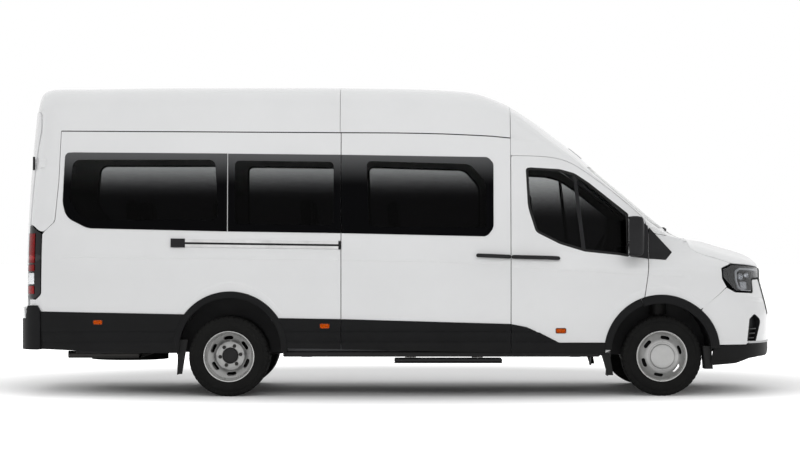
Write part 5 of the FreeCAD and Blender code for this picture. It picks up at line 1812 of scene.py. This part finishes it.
HANDLES = (("right", "body", "slider", 694, 981, 1219, 1207),
           ("right", "front_right_door", "cab", 997, 1406, 1206, 1188),
           ("left", "front_left_door", "cab", 997, 1406, 1206, 1188))
for side, body, label, start, end, z0, z1 in HANDLES:
    surface, flip = (right_side, False) if side == "right" else (left_side, True)
    fit(bars(f"{side}_{label}_door_handle", [handle_bar(surface, flip, start, end, z0, z1)], (BLACK,),
             smooth=True), body)
    z_mid = (z0 + z1) / 2
    cup_loop = rounded([(mix(start, end, 0.3), z_mid - 44, 40), (mix(start, end, 0.82), z_mid - 44, 40),
                        (mix(start, end, 0.82), z_mid + 30, 36), (mix(start, end, 0.3), z_mid + 34, 36)])
    fit(skin(f"{side}_{label}_handle_cup", cup_loop, surface, 4, (WHITE,), [shifted(cup_loop, 4)], lift=1.6,
             flip=flip, edge=1.2), body)
print("handles:", len(HANDLES))

# %% Markers
MARKERS = (("body", -2620, -2542, 623, 661), ("body", -662, -580, 589, 631), ("door", 1378, 1462, 549, 588))
for side, sign, surface, flip in SIDES:
    for k, (body, x0, x1, z0, z1) in enumerate(MARKERS):
        on = f"front_{side}_door" if body == "door" else "body"
        base = 12 if z1 < top_straight((x0 + x1) / 2) else 0
        loop = rounded([(x0, z0, 8), (x1, z0, 8), (x1, z1, 8), (x0, z1, 8)])
        fit(skin(f"{side}_marker_rim_{k + 1}", shifted(loop, -4), surface, 10, (BLACK,), [shifted(loop, 2)],
                 lift=base + 5, flip=flip, edge=1.5), on)
        fit(skin(f"{side}_marker_{k + 1}", shifted(loop, 1.5), surface, 5, (AMBER,), lift=base + 7,
                 flip=flip), on)
        fit(skin(f"{side}_marker_back_{k + 1}", shifted(loop, 2), surface, 1, (REFLECTOR,), lift=base + 1.5,
                 flip=flip, edge=0.5), on)
print("amber markers:", 2 * len(MARKERS))

# %% Mirrors
MIRROR_Y = 1160
SAIL_DOOR = [(2022, 1210, 8), (2180, 1190), (2180, 1474, 6), (2143, 1502, 12), (2022, 1400, 20)]
SAIL_WING = [(2187, 1190), (2331, 1180, 8), (2391, 1245, 10), (2187, 1466, 6)]


def shell_of(sections, steps=20):
    """A closed shell through rounded sections: (centre, half width vector, half height vector, power)."""
    verts = []
    for at, across, up, power in sections:
        at, across, up = Vector(at), Vector(across), Vector(up)
        for k in range(steps):
            a = 2 * pi * k / steps
            c, s = (copysign(abs(w) ** (2 / power), w) for w in (cos(a), sin(a)))
            verts.append(at + across * c + up * s)
    return verts, ring_faces(len(sections), steps, ends=-1)


for side, sign, surface, flip in SIDES:
    door_body = f"front_{side}_door"
    fit(skin(f"{side}_mirror_sail", rounded(SAIL_DOOR), surface, 22, (BLACK,), lift=14, flip=flip, edge=4),
        door_body)
    fit(skin(f"{side}_wing_sail", rounded(SAIL_WING), surface, 14, (BLACK,), lift=7, flip=flip, edge=3),
        "body")
    sections = []
    for x, half_y, half_z in ((1988, 62, 158), (1994, 69, 168), (2030, 72, 173), (2070, 70, 172),
                              (2098, 60, 166), (2114, 44, 152), (2122, 22, 120)):
        sections.append(((x, sign * MIRROR_Y, 1386), (0, half_y, 0), (0, 0, half_z), 4.5))
    fit(bars(f"{side}_mirror_head", [shell_of(sections, 40)], (BLACK,), smooth=True), door_body,
        f"front_{side}_mirror")
    arm_parts = []
    for z in (1262, 1330):
        arm_parts.append(shell_of([((2072, sign * 930, z), (26, 0, 0), (0, 0, 17), 3),
                                   ((2068, sign * 1010, z), (24, 0, 0), (0, 0, 15), 3),
                                   ((2062, sign * 1110, z + 6), (22, 0, 0), (0, 0, 15), 3)], 18))
    fit(bars(f"{side}_mirror_arm", arm_parts, (BLACK,), smooth=True), door_body)
    for k, (z, h) in enumerate(((1430, 108), (1268, 38))):
        loop = rounded([(-56, z - h, 22), (56, z - h, 22), (56, z + h, 22), (-56, z + h, 22)])
        fit(skin(f"{side}_mirror_glass_{k + 1}", loop, lambda y, z: (1986.5, sign * MIRROR_Y + y, z), 2,
                 (MIRROR_METAL,), flip=True, edge=1), door_body)
print("mirrors stand out to", MIRROR_Y + 72, "mm")

# %% [markdown]
# ## Rear door fittings
# Outside hinges with black pins, a black pull handle, a number plate panel with a lamp bar, and a high brake
# lamp above the doors. The plate is blank.

# %% Rear fittings
def rear_block(y0, y1, z0, z1, proud, depth, bevel=4):
    x0, _, _ = rear_face((y0 + y1) / 2, (z0 + z1) / 2)
    return block((x0 - proud, y0, z0), (x0 + depth, y1, z1), bevel)


for side, sign in (("left", 1), ("right", -1)):
    straps, pins, leaves = [], [], []
    for z in (2018, 700):
        x, y, _ = rear_face(sign * 868, z)
        y0, y1 = sorted((sign * 800, sign * 880))
        straps.append(block((x - 16, y0, z - 44), (x + 4, y1, z + 44), 5))
        pins.append(tube([(x - 10, sign * 893, z - 58), (x - 10, sign * 893, z + 58)], 10, 16))
        y0, y1 = sorted((sign * 900, sign * 958))
        px, _, _ = side_point(tail_u(930, z), z)
        leaves.append(block((px - 14, y0, z - 40), (px + 50, y1, z + 40), 8))
    fit(bars(f"{side}_rear_hinge_straps", straps, (WHITE,)), f"rear_{side}_door")
    fit(bars(f"{side}_rear_hinge_leaves", leaves, (WHITE,)), "body")
    fit(bars(f"{side}_rear_hinge_pins", pins, (BLACK,), smooth=True), "body", slot="bare_steel")
fit(bars("rear_door_handle", [rear_block(-72, -22, 1010, 1190, 26, 4, 12),
                              rear_block(-58, -36, 1030, 1170, 34, 0, 8)], (BLACK,)),
    "rear_right_door")
fit(bars("plate_panel", [rear_block(120, 700, 806, 960, 10, 4, 8)], (BLACK,)), "rear_left_door")
fit(bars("number_plate_blank", [rear_block(150, 670, 822, 932, 15, -8, 2)], (PRIMER,)), "rear_left_door")
fit(bars("plate_lamp_bar", [rear_block(250, 570, 950, 985, 32, 4, 10)], (BLACK,)), "rear_left_door")
fit(bars("high_brake_lamp", [block((-3178, -150, 2497), (-3120, 150, 2519), 6)], (RED,)), "body")
print("rear fittings made")

# %% [markdown]
# ## Wipers and roof pod
# Two wipers park on the windscreen's foot: a thin arm over a blade that follows the glass. Above the glass
# sits a black pod, moulded to the roof, with a small sensor eye under it.

# %% Wipers
def on_vault(x_station, y, lift):
    p, n = frame_at(vault, x_station, w_at(x_station, abs(y)) * (1 if y > 0 else -1), False)
    return p + n * lift


wipers = []
for pivot_y, tip_y in ((-600, 60), (-40, 620)):
    blade = [on_vault(mix(2408, 2400, k / 10), mix(pivot_y + 90, tip_y, k / 10), 7) for k in range(11)]
    wipers.append(tube(blade, 5, 8))
    arm = [on_vault(2430, pivot_y, 0), on_vault(2428, pivot_y + 30, 2),
           on_vault(2420, mix(pivot_y, tip_y, 0.35), 6), on_vault(2410, mix(pivot_y + 90, tip_y, 0.5), 7)]
    wipers.append(tube(arm, [13, 11, 7, 6], 10))
    wipers.append(dome(on_vault(2430, pivot_y, -8), (0.3, 0, 1), 19, 10, base=8))
fit(bars("wipers", wipers, (BLACK,), smooth=True), "body")
print("two wipers")

# %% Roof sensor pod
wide = w_at(1600, 64)
pod = fit(patch("roof_sensor_pod", vault, list(np.linspace(1550, 1664, 9)), list(np.linspace(-wide, wide, 9)),
                24, (BLACK,), lift=13), "body")
fit(bars("roof_sensor_eye", [dome(on_vault(1744, 0, 0), (0.6, 0, 0.8), 15, 12, base=4)], (BLACK,),
         smooth=True), "body")
print("roof pod", [round(v, 3) for v in pod.dimensions])

# %% [markdown]
# ## Step, sill bars and mud flaps
# The side step slides out under the sliding door: a tread plate on two arms. The sill bars close the lower
# edge between the wheels. The mud flaps are plain moulded rubber.

# %% Side step
step_parts = [block((-20, -998, 300), (914, -764, 326), 6)]
treads = [block((10 + 26 * k, -985, 325), (22 + 26 * k, -800, 327.8), 1) for k in range(34)]
fit(bars("side_step_board", step_parts, (BLACK,)), "side_step", "side_step")
fit(bars("side_step_treads", treads, (RUBBER,)), "side_step")
fit(bars("side_step_nosing", [block((-20, -998, 287), (914, -984, 300.5), 3)], (DARK_GREY,)), "side_step")
fit(bars("side_step_arms", [block((x, -960, 288), (x + 60, -770, 300.5), 3) for x in (80, 660)], (CHASSIS,)),
    "side_step")
print("side step board with", len(treads), "tread ribs")

# %% Sill bars
for side, sign, surface, flip in SIDES:
    bars_now = []
    y0, y1 = sorted((sign * 905, sign * 962))
    for x0, x1, z0, z1 in ((-2780, -1930, 372, 412), (-984, 1760, 340, 386)):
        bars_now.append(block((x0, y0, z0), (x1, y1, z1), 8))
    fit(bars(f"{side}_sill_bar", bars_now, (BLACK,)), "body")
print("sill bars made")

# %% Mud flaps
flaps = []
for sign in (-1, 1):
    for x, y0, y1, z0, z1 in ((-1888, 642, 984, 186, 490), (1838, 782, 974, 176, 366)):
        rows = [((x - 10 * (1 - k / 8) ** 2, sign * (y0 + y1) / 2, mix(z0, z1, k / 8)), (0, (y1 - y0) / 2, 0),
                 (5, 0, 0), 8) for k in range(9)]
        flaps.append(shell_of(rows, 24))
        foot, head = ((-1876, 20), (-1852, 46)) if x < 0 else ((1852, 25), (1808, 38))
        edge = [((mix(foot[0], head[0], k / 6), sign * (y1 - 6), mix(z0 + 6, z1, k / 6)),
                 (mix(foot[1], head[1], k / 6), 0, 0), (0, 5, 0), 6) for k in range(7)]
        flaps.append(shell_of(edge, 20))
        for k in range(3):
            y = sign * mix(y0 + 40, y1 - 40, k / 2)
            flaps.append(dome((x - 4, y, z1 - 18), (-1, 0, 0), 9, 5, 12, 3, base=3))
    lip_rows = [((2706 - 2 * k, sign * 884, 236 + 22 * k), (0, 84, 0), (38, 0, 0), 8) for k in range(10)]
    flaps.append(shell_of(lip_rows, 24))
fit(bars("mud_flap_set", flaps, (RUBBER,), smooth=True), "body", "mud_flaps")
print("mud flaps: four")

# %% [markdown]
# ## Wheels
# The wheels are pressed steel, painted silver: a rolled rim and a dished disc with six hand holes. In front
# the disc bulges outwards, a large plain cap covers the nuts, and the brake disc shows dark through the
# holes. At the back the outer disc is turned round, so it lies deep, and the axle's black hub and six nuts
# show.

# %% Wheel sizes
WHEEL_Z, FRONT_X, REAR_X = 345, 2300, -1450
FRONT_Y, OUTER_Y, INNER_Y = 866, 934, 714
DISH = 110


def kidney(radius, angle, half_span, half_width, steps=9):
    """A curved slot on a wheel disc, as a flat outline."""
    loop = []
    for end in (1, -1):
        loop += [polar(radius + end * half_width, angle + end * half_span * (2 * k / steps - 1))
                 for k in range(steps + 1)]
        turn = angle + end * half_span
        loop += [polar(half_width, turn + (end < 0) * pi + pi * k / 7, polar(radius, turn))
                 for k in range(1, 7)]
    return loop


def circle(radius, steps=72):
    return [polar(radius, 2 * pi * k / steps) for k in range(steps)]


# %% Wheel parts
FRONT_DISH = smooth_line([(0, 108), (118, 108), (132, 105), (150, 92), (176, 66), (196, 44), (212, 34)])
REAR_DISH = smooth_line([(0, 110), (116, 110), (126, 106), (140, 88), (168, 66), (194, 48), (212, 34)])


def wheel_disc(name, x, centre, side, towards, dish, hole_shape, material):
    """The dished disc of a wheel. towards is the way it bulges: 1 outwards, -1 inwards."""
    def surface(u, v):
        return x + u, centre + side * towards * dish(hypot(u, v)), WHEEL_Z + v
    rings = [[(r * cos(pi * k / 36), r * sin(pi * k / 36)) for r in (119, 126, 133, 141, 195, 204)
              for k in range(72)]]
    holes = [kidney(*hole_shape[:1], radians(60 * k + hole_shape[3]), *hole_shape[1:3]) for k in range(6)]
    return skin(name, circle(213), surface, 7, (material,), holes, cell=18, lines=rings, edge=2,
                flip=side > 0)


def barrel(x, centre, side):
    """The rolled rim as a (y, radius) profile: outer lip, bead seat, well, inner lip."""
    lip = [(81, 213), (84, 219), (80, 223), (74, 222), (66, 214), (58, 212), (30, 209), (14, 200), (-20, 200),
           (-40, 209), (-66, 212), (-76, 222), (-81, 223), (-82, 217), (-72, 208), (-40, 202), (-18, 193),
           (14, 193), (34, 203), (58, 206), (70, 208), (77, 212)]
    return lathe([(centre + side * y, r) for y, r in lip], x, WHEEL_Z, 96)


def hexagon(x, y0, y1, z, radius):
    verts = [Vector((x + radius * cos(radians(60 * k)), y, z + radius * sin(radians(60 * k))))
             for y in (y0, y1) for k in range(6)]
    return verts, ring_faces(2, 6)


def tyre_solid(x, centre, steps=240):
    """A road tyre with four grooves round it and a row of cuts along each shoulder."""
    half = [(78, 216), (86, 222), (92, 236), (97, 262), (97.5, 282), (95, 300), (92, 303), (91, 306),
            (92, 309), (88, 326), (83, 336), (79, 341), (74, 345), (60, 346), (52, 346.4), (51, 339),
            (44, 339), (43, 346.6), (22, 347), (16, 347), (15, 339.5), (8, 339.5), (7, 347)]
    profile = [(-y, r) for y, r in half] + [(y, r) for y, r in half[::-1]]
    inner = [(70, 214), (40, 224), (-40, 224), (-70, 214)]
    verts = []
    line = profile + inner
    for i in range(steps):
        a = 2 * pi * i / steps
        phase = i % 5
        for k, (y, r) in enumerate(line):
            shoulder = r > 322 and abs(y) > 50 and k < len(profile)
            block_cut = r > 344 and 17 < abs(y) < 43
            if shoulder and phase == 0:
                r -= 9
            if block_cut and (i + (2 if y > 0 else 0)) % 5 == 1:
                r -= 3
            if 305 > r > 299 and i % 4 == 0:
                r -= 0.8
            verts.append(Vector((x + r * cos(a), centre + y, WHEEL_Z + r * sin(a))))
    return verts, ring_faces(steps, len(line), True)


print("tyre section has", len(tyre_solid(0, 0, 5)[0]) // 5, "points")

# %% Front wheels
for side, sign, surface, flip in SIDES:
    body = f"front_{side}_wheel"
    fit(wheel_disc(f"front_{side}_wheel_disc", FRONT_X, sign * FRONT_Y, sign, 1, FRONT_DISH,
                   (166, 0.15, 16, 20), SILVER), body, f"front_{side}_wheel")
    fit(bars(f"front_{side}_wheel_rim", [barrel(FRONT_X, sign * FRONT_Y, sign)], (RIM_PAINTED_HIGHLIGHT,), smooth=True), body)
    backing = [(FRONT_Y - 34, 0.5), (FRONT_Y - 34, 172), (FRONT_Y - 42, 172), (FRONT_Y - 42, 0.5)]
    fit(bars(f"front_{side}_brake_disc", [lathe([(sign * y, r) for y, r in backing], FRONT_X, WHEEL_Z, 48)],
             (BLACK,)), body, slot="wheel_steel")
    face = FRONT_Y + DISH
    profile = [(face - 4, 122), (face + 3, 122), (face + 6, 118), (face + 5, 112), (face + 8, 108),
               (face + 20, 105), (face + 25, 100), (face + 27, 92), (face + 28, 50), (face + 28.5, 0.5),
               (face - 4, 0.5)]
    cap = fit(bars(f"front_{side}_wheel_cap",
                   [lathe([(sign * y, r) for y, r in profile], FRONT_X, WHEEL_Z, 72)], (SILVER,),
                   smooth=True), body)
    tyre = fit(bars(f"front_{side}_tyre_tread", [tyre_solid(FRONT_X, sign * FRONT_Y)], (TYRE,), smooth=True),
               body, f"front_{side}_tyre")
print("front wheels", [round(v, 3) for v in tyre.dimensions])

# %% Rear wheels
for side, sign, surface, flip in SIDES:
    body = f"rear_{side}_wheels"
    for label, centre, towards in (("outer", OUTER_Y, -1), ("inner", INNER_Y, 1)):
        fit(wheel_disc(f"rear_{side}_{label}_disc", REAR_X, sign * centre, sign, towards, REAR_DISH,
                       (156, 0.16, 17, 35), SILVER), body, label == "outer" and f"rear_{side}_wheels")
        fit(bars(f"rear_{side}_{label}_rim", [barrel(REAR_X, sign * centre, sign)], (RIM_PAINTED_HIGHLIGHT,), smooth=True),
            body)
        fit(bars(f"rear_{side}_{label}_tyre", [tyre_solid(REAR_X, sign * centre)], (TYRE,), smooth=True),
            body, label == "outer" and f"rear_{side}_tyres")
    seat_y = OUTER_Y - DISH
    profile = [(seat_y - 120, 70), (seat_y + 30, 70), (seat_y + 38, 66), (seat_y + 42, 56), (seat_y + 43, 30),
               (seat_y + 43.5, 0.5), (seat_y - 120, 0.5)]
    fit(bars(f"rear_{side}_hub", [lathe([(sign * y, r) for y, r in profile], REAR_X, WHEEL_Z, 48)], (BLACK,),
             smooth=True), body, slot="chassis_steel")
    nuts = []
    for k in range(6):
        a = radians(60 * k + 7)
        nx, nz = REAR_X + 90 * cos(a), WHEEL_Z + 90 * sin(a)
        nuts.append(hexagon(nx, sign * seat_y, sign * (seat_y + 20), nz, 17))
        nuts.append(tube([(nx, sign * seat_y, nz), (nx, sign * (seat_y + 34), nz)], 9, 12))
    fit(bars(f"rear_{side}_wheel_nuts", nuts, (CHASSIS,)), body, slot="bare_steel")
print("rear wheels with", len(nuts) // 2, "nuts each side")

# %% [markdown]
# ## Wheel arch liners
# Black liners hide the body's inner sheet round each wheel. Each is a ribbed arch with a flat wall on its
# inner side.

# %% Arch liners
for side, sign, surface, flip in SIDES:
    for label, centre, radius, y0, y1 in (("front", FRONT_ARCH, 436, 560, 978),
                                          ("rear", REAR_ARCH, 462, 575, 975)):
        rows = list(np.linspace(y0, y1, 9))
        verts = []
        for a in np.linspace(-6, 186, 120):
            for v, extra in [(v, 0) for v in rows] + [(v, 5) for v in rows[::-1]]:
                ribbed = radius + 3 * cos(radians(a * 24)) * (1 if v < 930 else 0) + extra
                x, z = polar(ribbed, radians(a), centre)
                verts.append((x, sign * v, z))
        wall = [polar(radius + 4, radians(a), centre) for a in range(-6, 187, 6)]
        wall_verts = [(x, sign * y, z) for y in (y0 - 4, y0) for x, z in wall]
        solids = [(verts, ring_faces(120, 18)), (wall_verts, ring_faces(2, len(wall)))]
        fit(bars(f"{side}_{label}_arch_liner", solids, (BLACK,), smooth=True),
            "body", (side, label) == ("right", "front") and "wheel_housings")
print("four liners")

# %% [markdown]
# ## Seats
# A bus seat is a foam pad in a sewn cloth cover, so its faces swell between the seams and its corners stay
# soft. One cushion and one back are inflated by a short cloth simulation, with the swelling capped, and then
# copied to each place, because all the seats come from one factory pattern. The piping is laid on afterwards
# along the edge seams, and a steel pedestal carries each seat.

# %% Pad maker
PAD_CORNER, PIPING_R = 34, 3.5
BACK_BEND, BACK_NARROW = 12, 0.70


def pad_mesh(name, size, bend, narrow, cap):
    """A closed, rounded pad as points and faces. bend bows it backwards and narrow is the far end's width."""
    counts = [max(4, round(v / 21)) for v in size]
    half = [v / 2 for v in size]
    index, verts, faces = {}, [], []

    def corner_at(*key):
        if key not in index:
            p = [mix(-h, h, k / n) for h, k, n in zip(half, key, counts)]
            core = [max(-h + PAD_CORNER, min(h - PAD_CORNER, v)) for h, v in zip(half, p)]
            away = Vector(p) - Vector(core)
            if away.length > PAD_CORNER:
                p = Vector(core) + away.normalized() * PAD_CORNER
            index[key] = len(verts)
            verts.append(Vector(p))
        return index[key]

    for axis in range(3):
        a, b = [k for k in range(3) if k != axis]
        for end in (0, counts[axis]):
            for i in range(counts[a]):
                for j in range(counts[b]):
                    quad = []
                    for di, dj in ((0, 0), (1, 0), (1, 1), (0, 1)):
                        key = [0, 0, 0]
                        key[axis], key[a], key[b] = end, i + di, j + dj
                        quad.append(corner_at(*key))
                    faces.append(quad)
    obj = bars(name, [([v.copy() for v in verts], faces)], (CLOTH, PIPING), smooth=True)
    start = [v.co.copy() for v in obj.data.vertices]
    cloth = obj.modifiers.new("Inflate", "CLOTH")
    cloth.settings.quality = 5
    cloth.settings.use_pressure = True
    cloth.settings.uniform_pressure_force = 4
    cloth.settings.effector_weights.gravity = 0
    scene = bpy.context.scene
    for number in range(1, 21):
        scene.frame_set(number)
    ready = obj.evaluated_get(bpy.context.evaluated_depsgraph_get())
    moved = [v.co.copy() for v in ready.data.vertices]
    obj.modifiers.remove(cloth)
    scene.frame_set(1)
    for v, old, new in zip(obj.data.vertices, start, moved):
        step = new - old
        v.co = old + step * min(1.0, cap * MM / max(step.length, 1e-9))
    for v in obj.data.vertices:
        x, y, z = v.co / MM
        share = (z + half[2]) / size[2] if size[2] > 300 else 0
        y *= mix(1, narrow, ease(0.45, 1.0, share))
        x -= bend * 4 * share * (1 - share)
        channel = 7 * sum(exp(-((y - c) / 15) ** 2) for c in (-size[1] * 0.24, size[1] * 0.24))
        if size[2] > 300:
            x -= channel * (x > 0)
        else:
            z -= channel * (z > 0)
        v.co = Vector((x, y, z)) * MM
    print(name, [round(v, 3) for v in obj.dimensions], len(obj.data.polygons), "faces")
    return obj


CUSHION_SIZE, BACK_SIZE = (392, 396, 96), (84, 396, 700)
cushion_form = pad_mesh("cushion_form", CUSHION_SIZE, 0, 1.0, 12)
back_form = pad_mesh("back_form", BACK_SIZE, BACK_BEND, BACK_NARROW, 9)

# %% Seats in place
FLOOR_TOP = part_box("floor")[1][2] / MM
PASSENGER_SEATS = [(x, y, 430, 640) for x in (60, -700, -1460, -2220) for y in (250, 690)]
PASSENGER_SEATS += [(x, -690, 430, 640) for x in (-700, -1460, -2220)]
PASSENGER_SEATS += [(-2940, y, 430, 640) for y in (-675, -225, 225, 675)]
CAB_SEATS = [(1230, 430, 500, 700), (1230, -230, 420, 700), (1230, -660, 420, 700)]


def edge_path(size, place):
    """The seam line round a pad, as points just outside its skin."""
    wide, high = size[1] / 2 + 1, size[2] / 2
    if size[2] > 300:
        x = size[0] / 2 - 12
        loop = rounded([(-wide, -high, 40), (wide, -high, 40), (wide, high, 60), (-wide, high, 60)])
        loop = [(x - BACK_BEND * 4 * t * (1 - t), y * mix(1, BACK_NARROW, ease(0.45, 1, t)), z)
                for y, z in loop for t in [(z + high) / size[2]]]
    else:
        deep = size[0] / 2 + 1
        loop = [(x, y, high - 12) for x, y in rounded([(-deep, -wide, 40), (deep, -wide, 40),
                                                       (deep, wide, 40), (-deep, wide, 40)])]
    return tube([place @ (Vector(p) * MM) / MM for p in loop], PIPING_R, 6, closed=True)


def seat(name, x, y, width, tall, stands_for):
    """One seat: cushion, back and pedestal."""
    parts = []
    cushion_at = Matrix.Translation(Vector((x + 254, y, FLOOR_TOP + 360)) * MM)
    cushion_at = cushion_at @ Matrix.Rotation(-0.05, 4, "Y") @ Matrix.Diagonal((1, width / 430, 1, 1))
    back_at = Matrix.Translation(Vector((x - 56, y, FLOOR_TOP + 330 + tall * 0.535)) * MM)
    back_at = back_at @ Matrix.Rotation(-0.128, 4, "Y") @ Matrix.Diagonal((1, width / 430, tall / 640, 1))
    for label, form, place, size in (("cushion", cushion_form, cushion_at, CUSHION_SIZE),
                                     ("back", back_form, back_at, BACK_SIZE)):
        mesh = form.data.copy()
        mesh.transform(place)
        pad = bpy.data.objects.new(f"{name}_{label}", mesh)
        bpy.context.scene.collection.objects.link(pad)
        fit(pad, "body", label == "cushion" and stands_for)
        parts.append(edge_path(size, place))
    fit(bars(f"{name}_piping", parts, (PIPING,), smooth=True), "body")
    near, far = y - width / 2 + 70, y + width / 2 - 70
    base = 892 if abs(y) > 540 and abs(x + 230 - REAR_ARCH[0]) < 470 else FLOOR_TOP
    frame_parts = [block((x + 70, near - 10, base), (x + 320, near + 25, FLOOR_TOP + 285), 6),
                   block((x + 70, far - 25, base), (x + 320, far + 10, FLOOR_TOP + 285), 6),
                   block((x + 20, near - 45, FLOOR_TOP + 285), (x + 440, far + 45, FLOOR_TOP + 306), 6)]
    fit(bars(f"{name}_pedestal", frame_parts, (TRIM,)), "body")


for k, (x, y, width, tall) in enumerate(PASSENGER_SEATS):
    seat(f"passenger_seat_{k + 1}", x, y, width, tall, k == 0 and "passenger_seats")
for k, (x, y, width, tall) in enumerate(CAB_SEATS):
    seat(f"cab_seat_{k + 1}", x, y, width, tall, k == 0 and "cab_seats")
for form in (cushion_form, back_form):
    bpy.data.objects.remove(form)
print("seats:", len(PASSENGER_SEATS) + len(CAB_SEATS))

# %% [markdown]
# ## Dashboard
# The dashboard is one moulded shelf across the cab. Its section grows into a hood in front of the driver and
# a stack in the middle, so it is lofted from one profile whose top and face move as it goes across.

# %% Dashboard
def dash_profile(y):
    hood = ease(190, 250, abs(y - 430) * -1 + 440) * (1 - ease(150, 210, abs(y - 430)))
    stack = 1 - ease(150, 190, abs(y))
    top, face, foot = 1285 + 26 * hood, 2046 - 34 * hood - 22 * stack, 1075 - 30 * stack
    line = [(2150, foot - 20, 30), (face + 40, foot, 40), (face, 1180, 40), (face + 8, top - 22, 18),
            (face + 60, top, 20), (2200, 1296, 60), (2316, 1308, 6), (2316, 1100, 20)]
    return divided(rounded(line), 16)


sections, ys = [], list(np.linspace(-796, 796, 81))
for y in ys:
    loop = dash_profile(float(y))
    run = np.concatenate([[0], np.cumsum([dist(a, b) for a, b in zip(loop, loop[1:] + loop[:1])])])
    closed = loop + loop[:1]
    share = np.linspace(0, run[-1], 65)[:-1]
    sections.append([(float(np.interp(d, run, [p[0] for p in closed])), float(y),
                      float(np.interp(d, run, [p[1] for p in closed]))) for d in share])
verts = [p for loop in sections for p in loop]
dash = fit(bars("dashboard_shelf", [(verts, ring_faces(len(sections), len(sections[0])))], (TRIM,),
                smooth=True), "body", "dashboard")
fittings = [block((2006, 270, 1150), (2024, 590, 1252), 6), block((2018, -120, 1140), (2036, 120, 1225), 5)]
for y in (-720, -180, 180, 700):
    fittings.append(block((2030, y - 52, 1195), (2052, y + 52, 1245), 6))
    fittings += [block((2026, y - 46, z), (2034, y + 46, z + 3), 1) for z in (1204, 1214, 1224, 1234)]
fittings.append(block((2040, -640, 1100), (2056, -300, 1180), 10))
fit(bars("dashboard_fittings", fittings, (GLOSS_BLACK,)), "body")
print("dashboard", [round(v, 3) for v in dash.dimensions])

# %% [markdown]
# ## Finishes of the parts that keep their built shape
# The parts under the floor, the steering wheel and the fuel tank have their true shape already. They only
# need their finish, so it goes into the slots that they came with.

# %% Carried-over parts
KEPT = {
    FLOORING: ["floor", "toe_board"], TRIM: ["steering_wheel"], TYRE: ["spare_wheel"], CAST: ["engine"],
    EXHAUST: ["exhaust"], BLACK: ["fuel_tank"],
    CHASSIS: ["crash_beam", "tow_crossmember", "chassis_frame", "front_subframe", "struts", "left_knuckle",
              "right_knuckle", "rear_axle", "leaf_springs", "propeller_shaft"],
}
for material, names in KEPT.items():
    for name in names:
        mesh = frame["nodes"][name].data
        if not mesh.materials:
            mesh.materials.append(material)
        for k in range(len(mesh.materials)):
            mesh.materials[k] = material
kept = sum(KEPT.values(), [])
plain = [name for name, obj in frame["nodes"].items() if not obj.hide_render and name not in kept]
print("parts with a new finish:", len(kept), "and without:", plain)

low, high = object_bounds()
print("visual box", [round(v, 3) for v in low], [round(v, 3) for v in high])
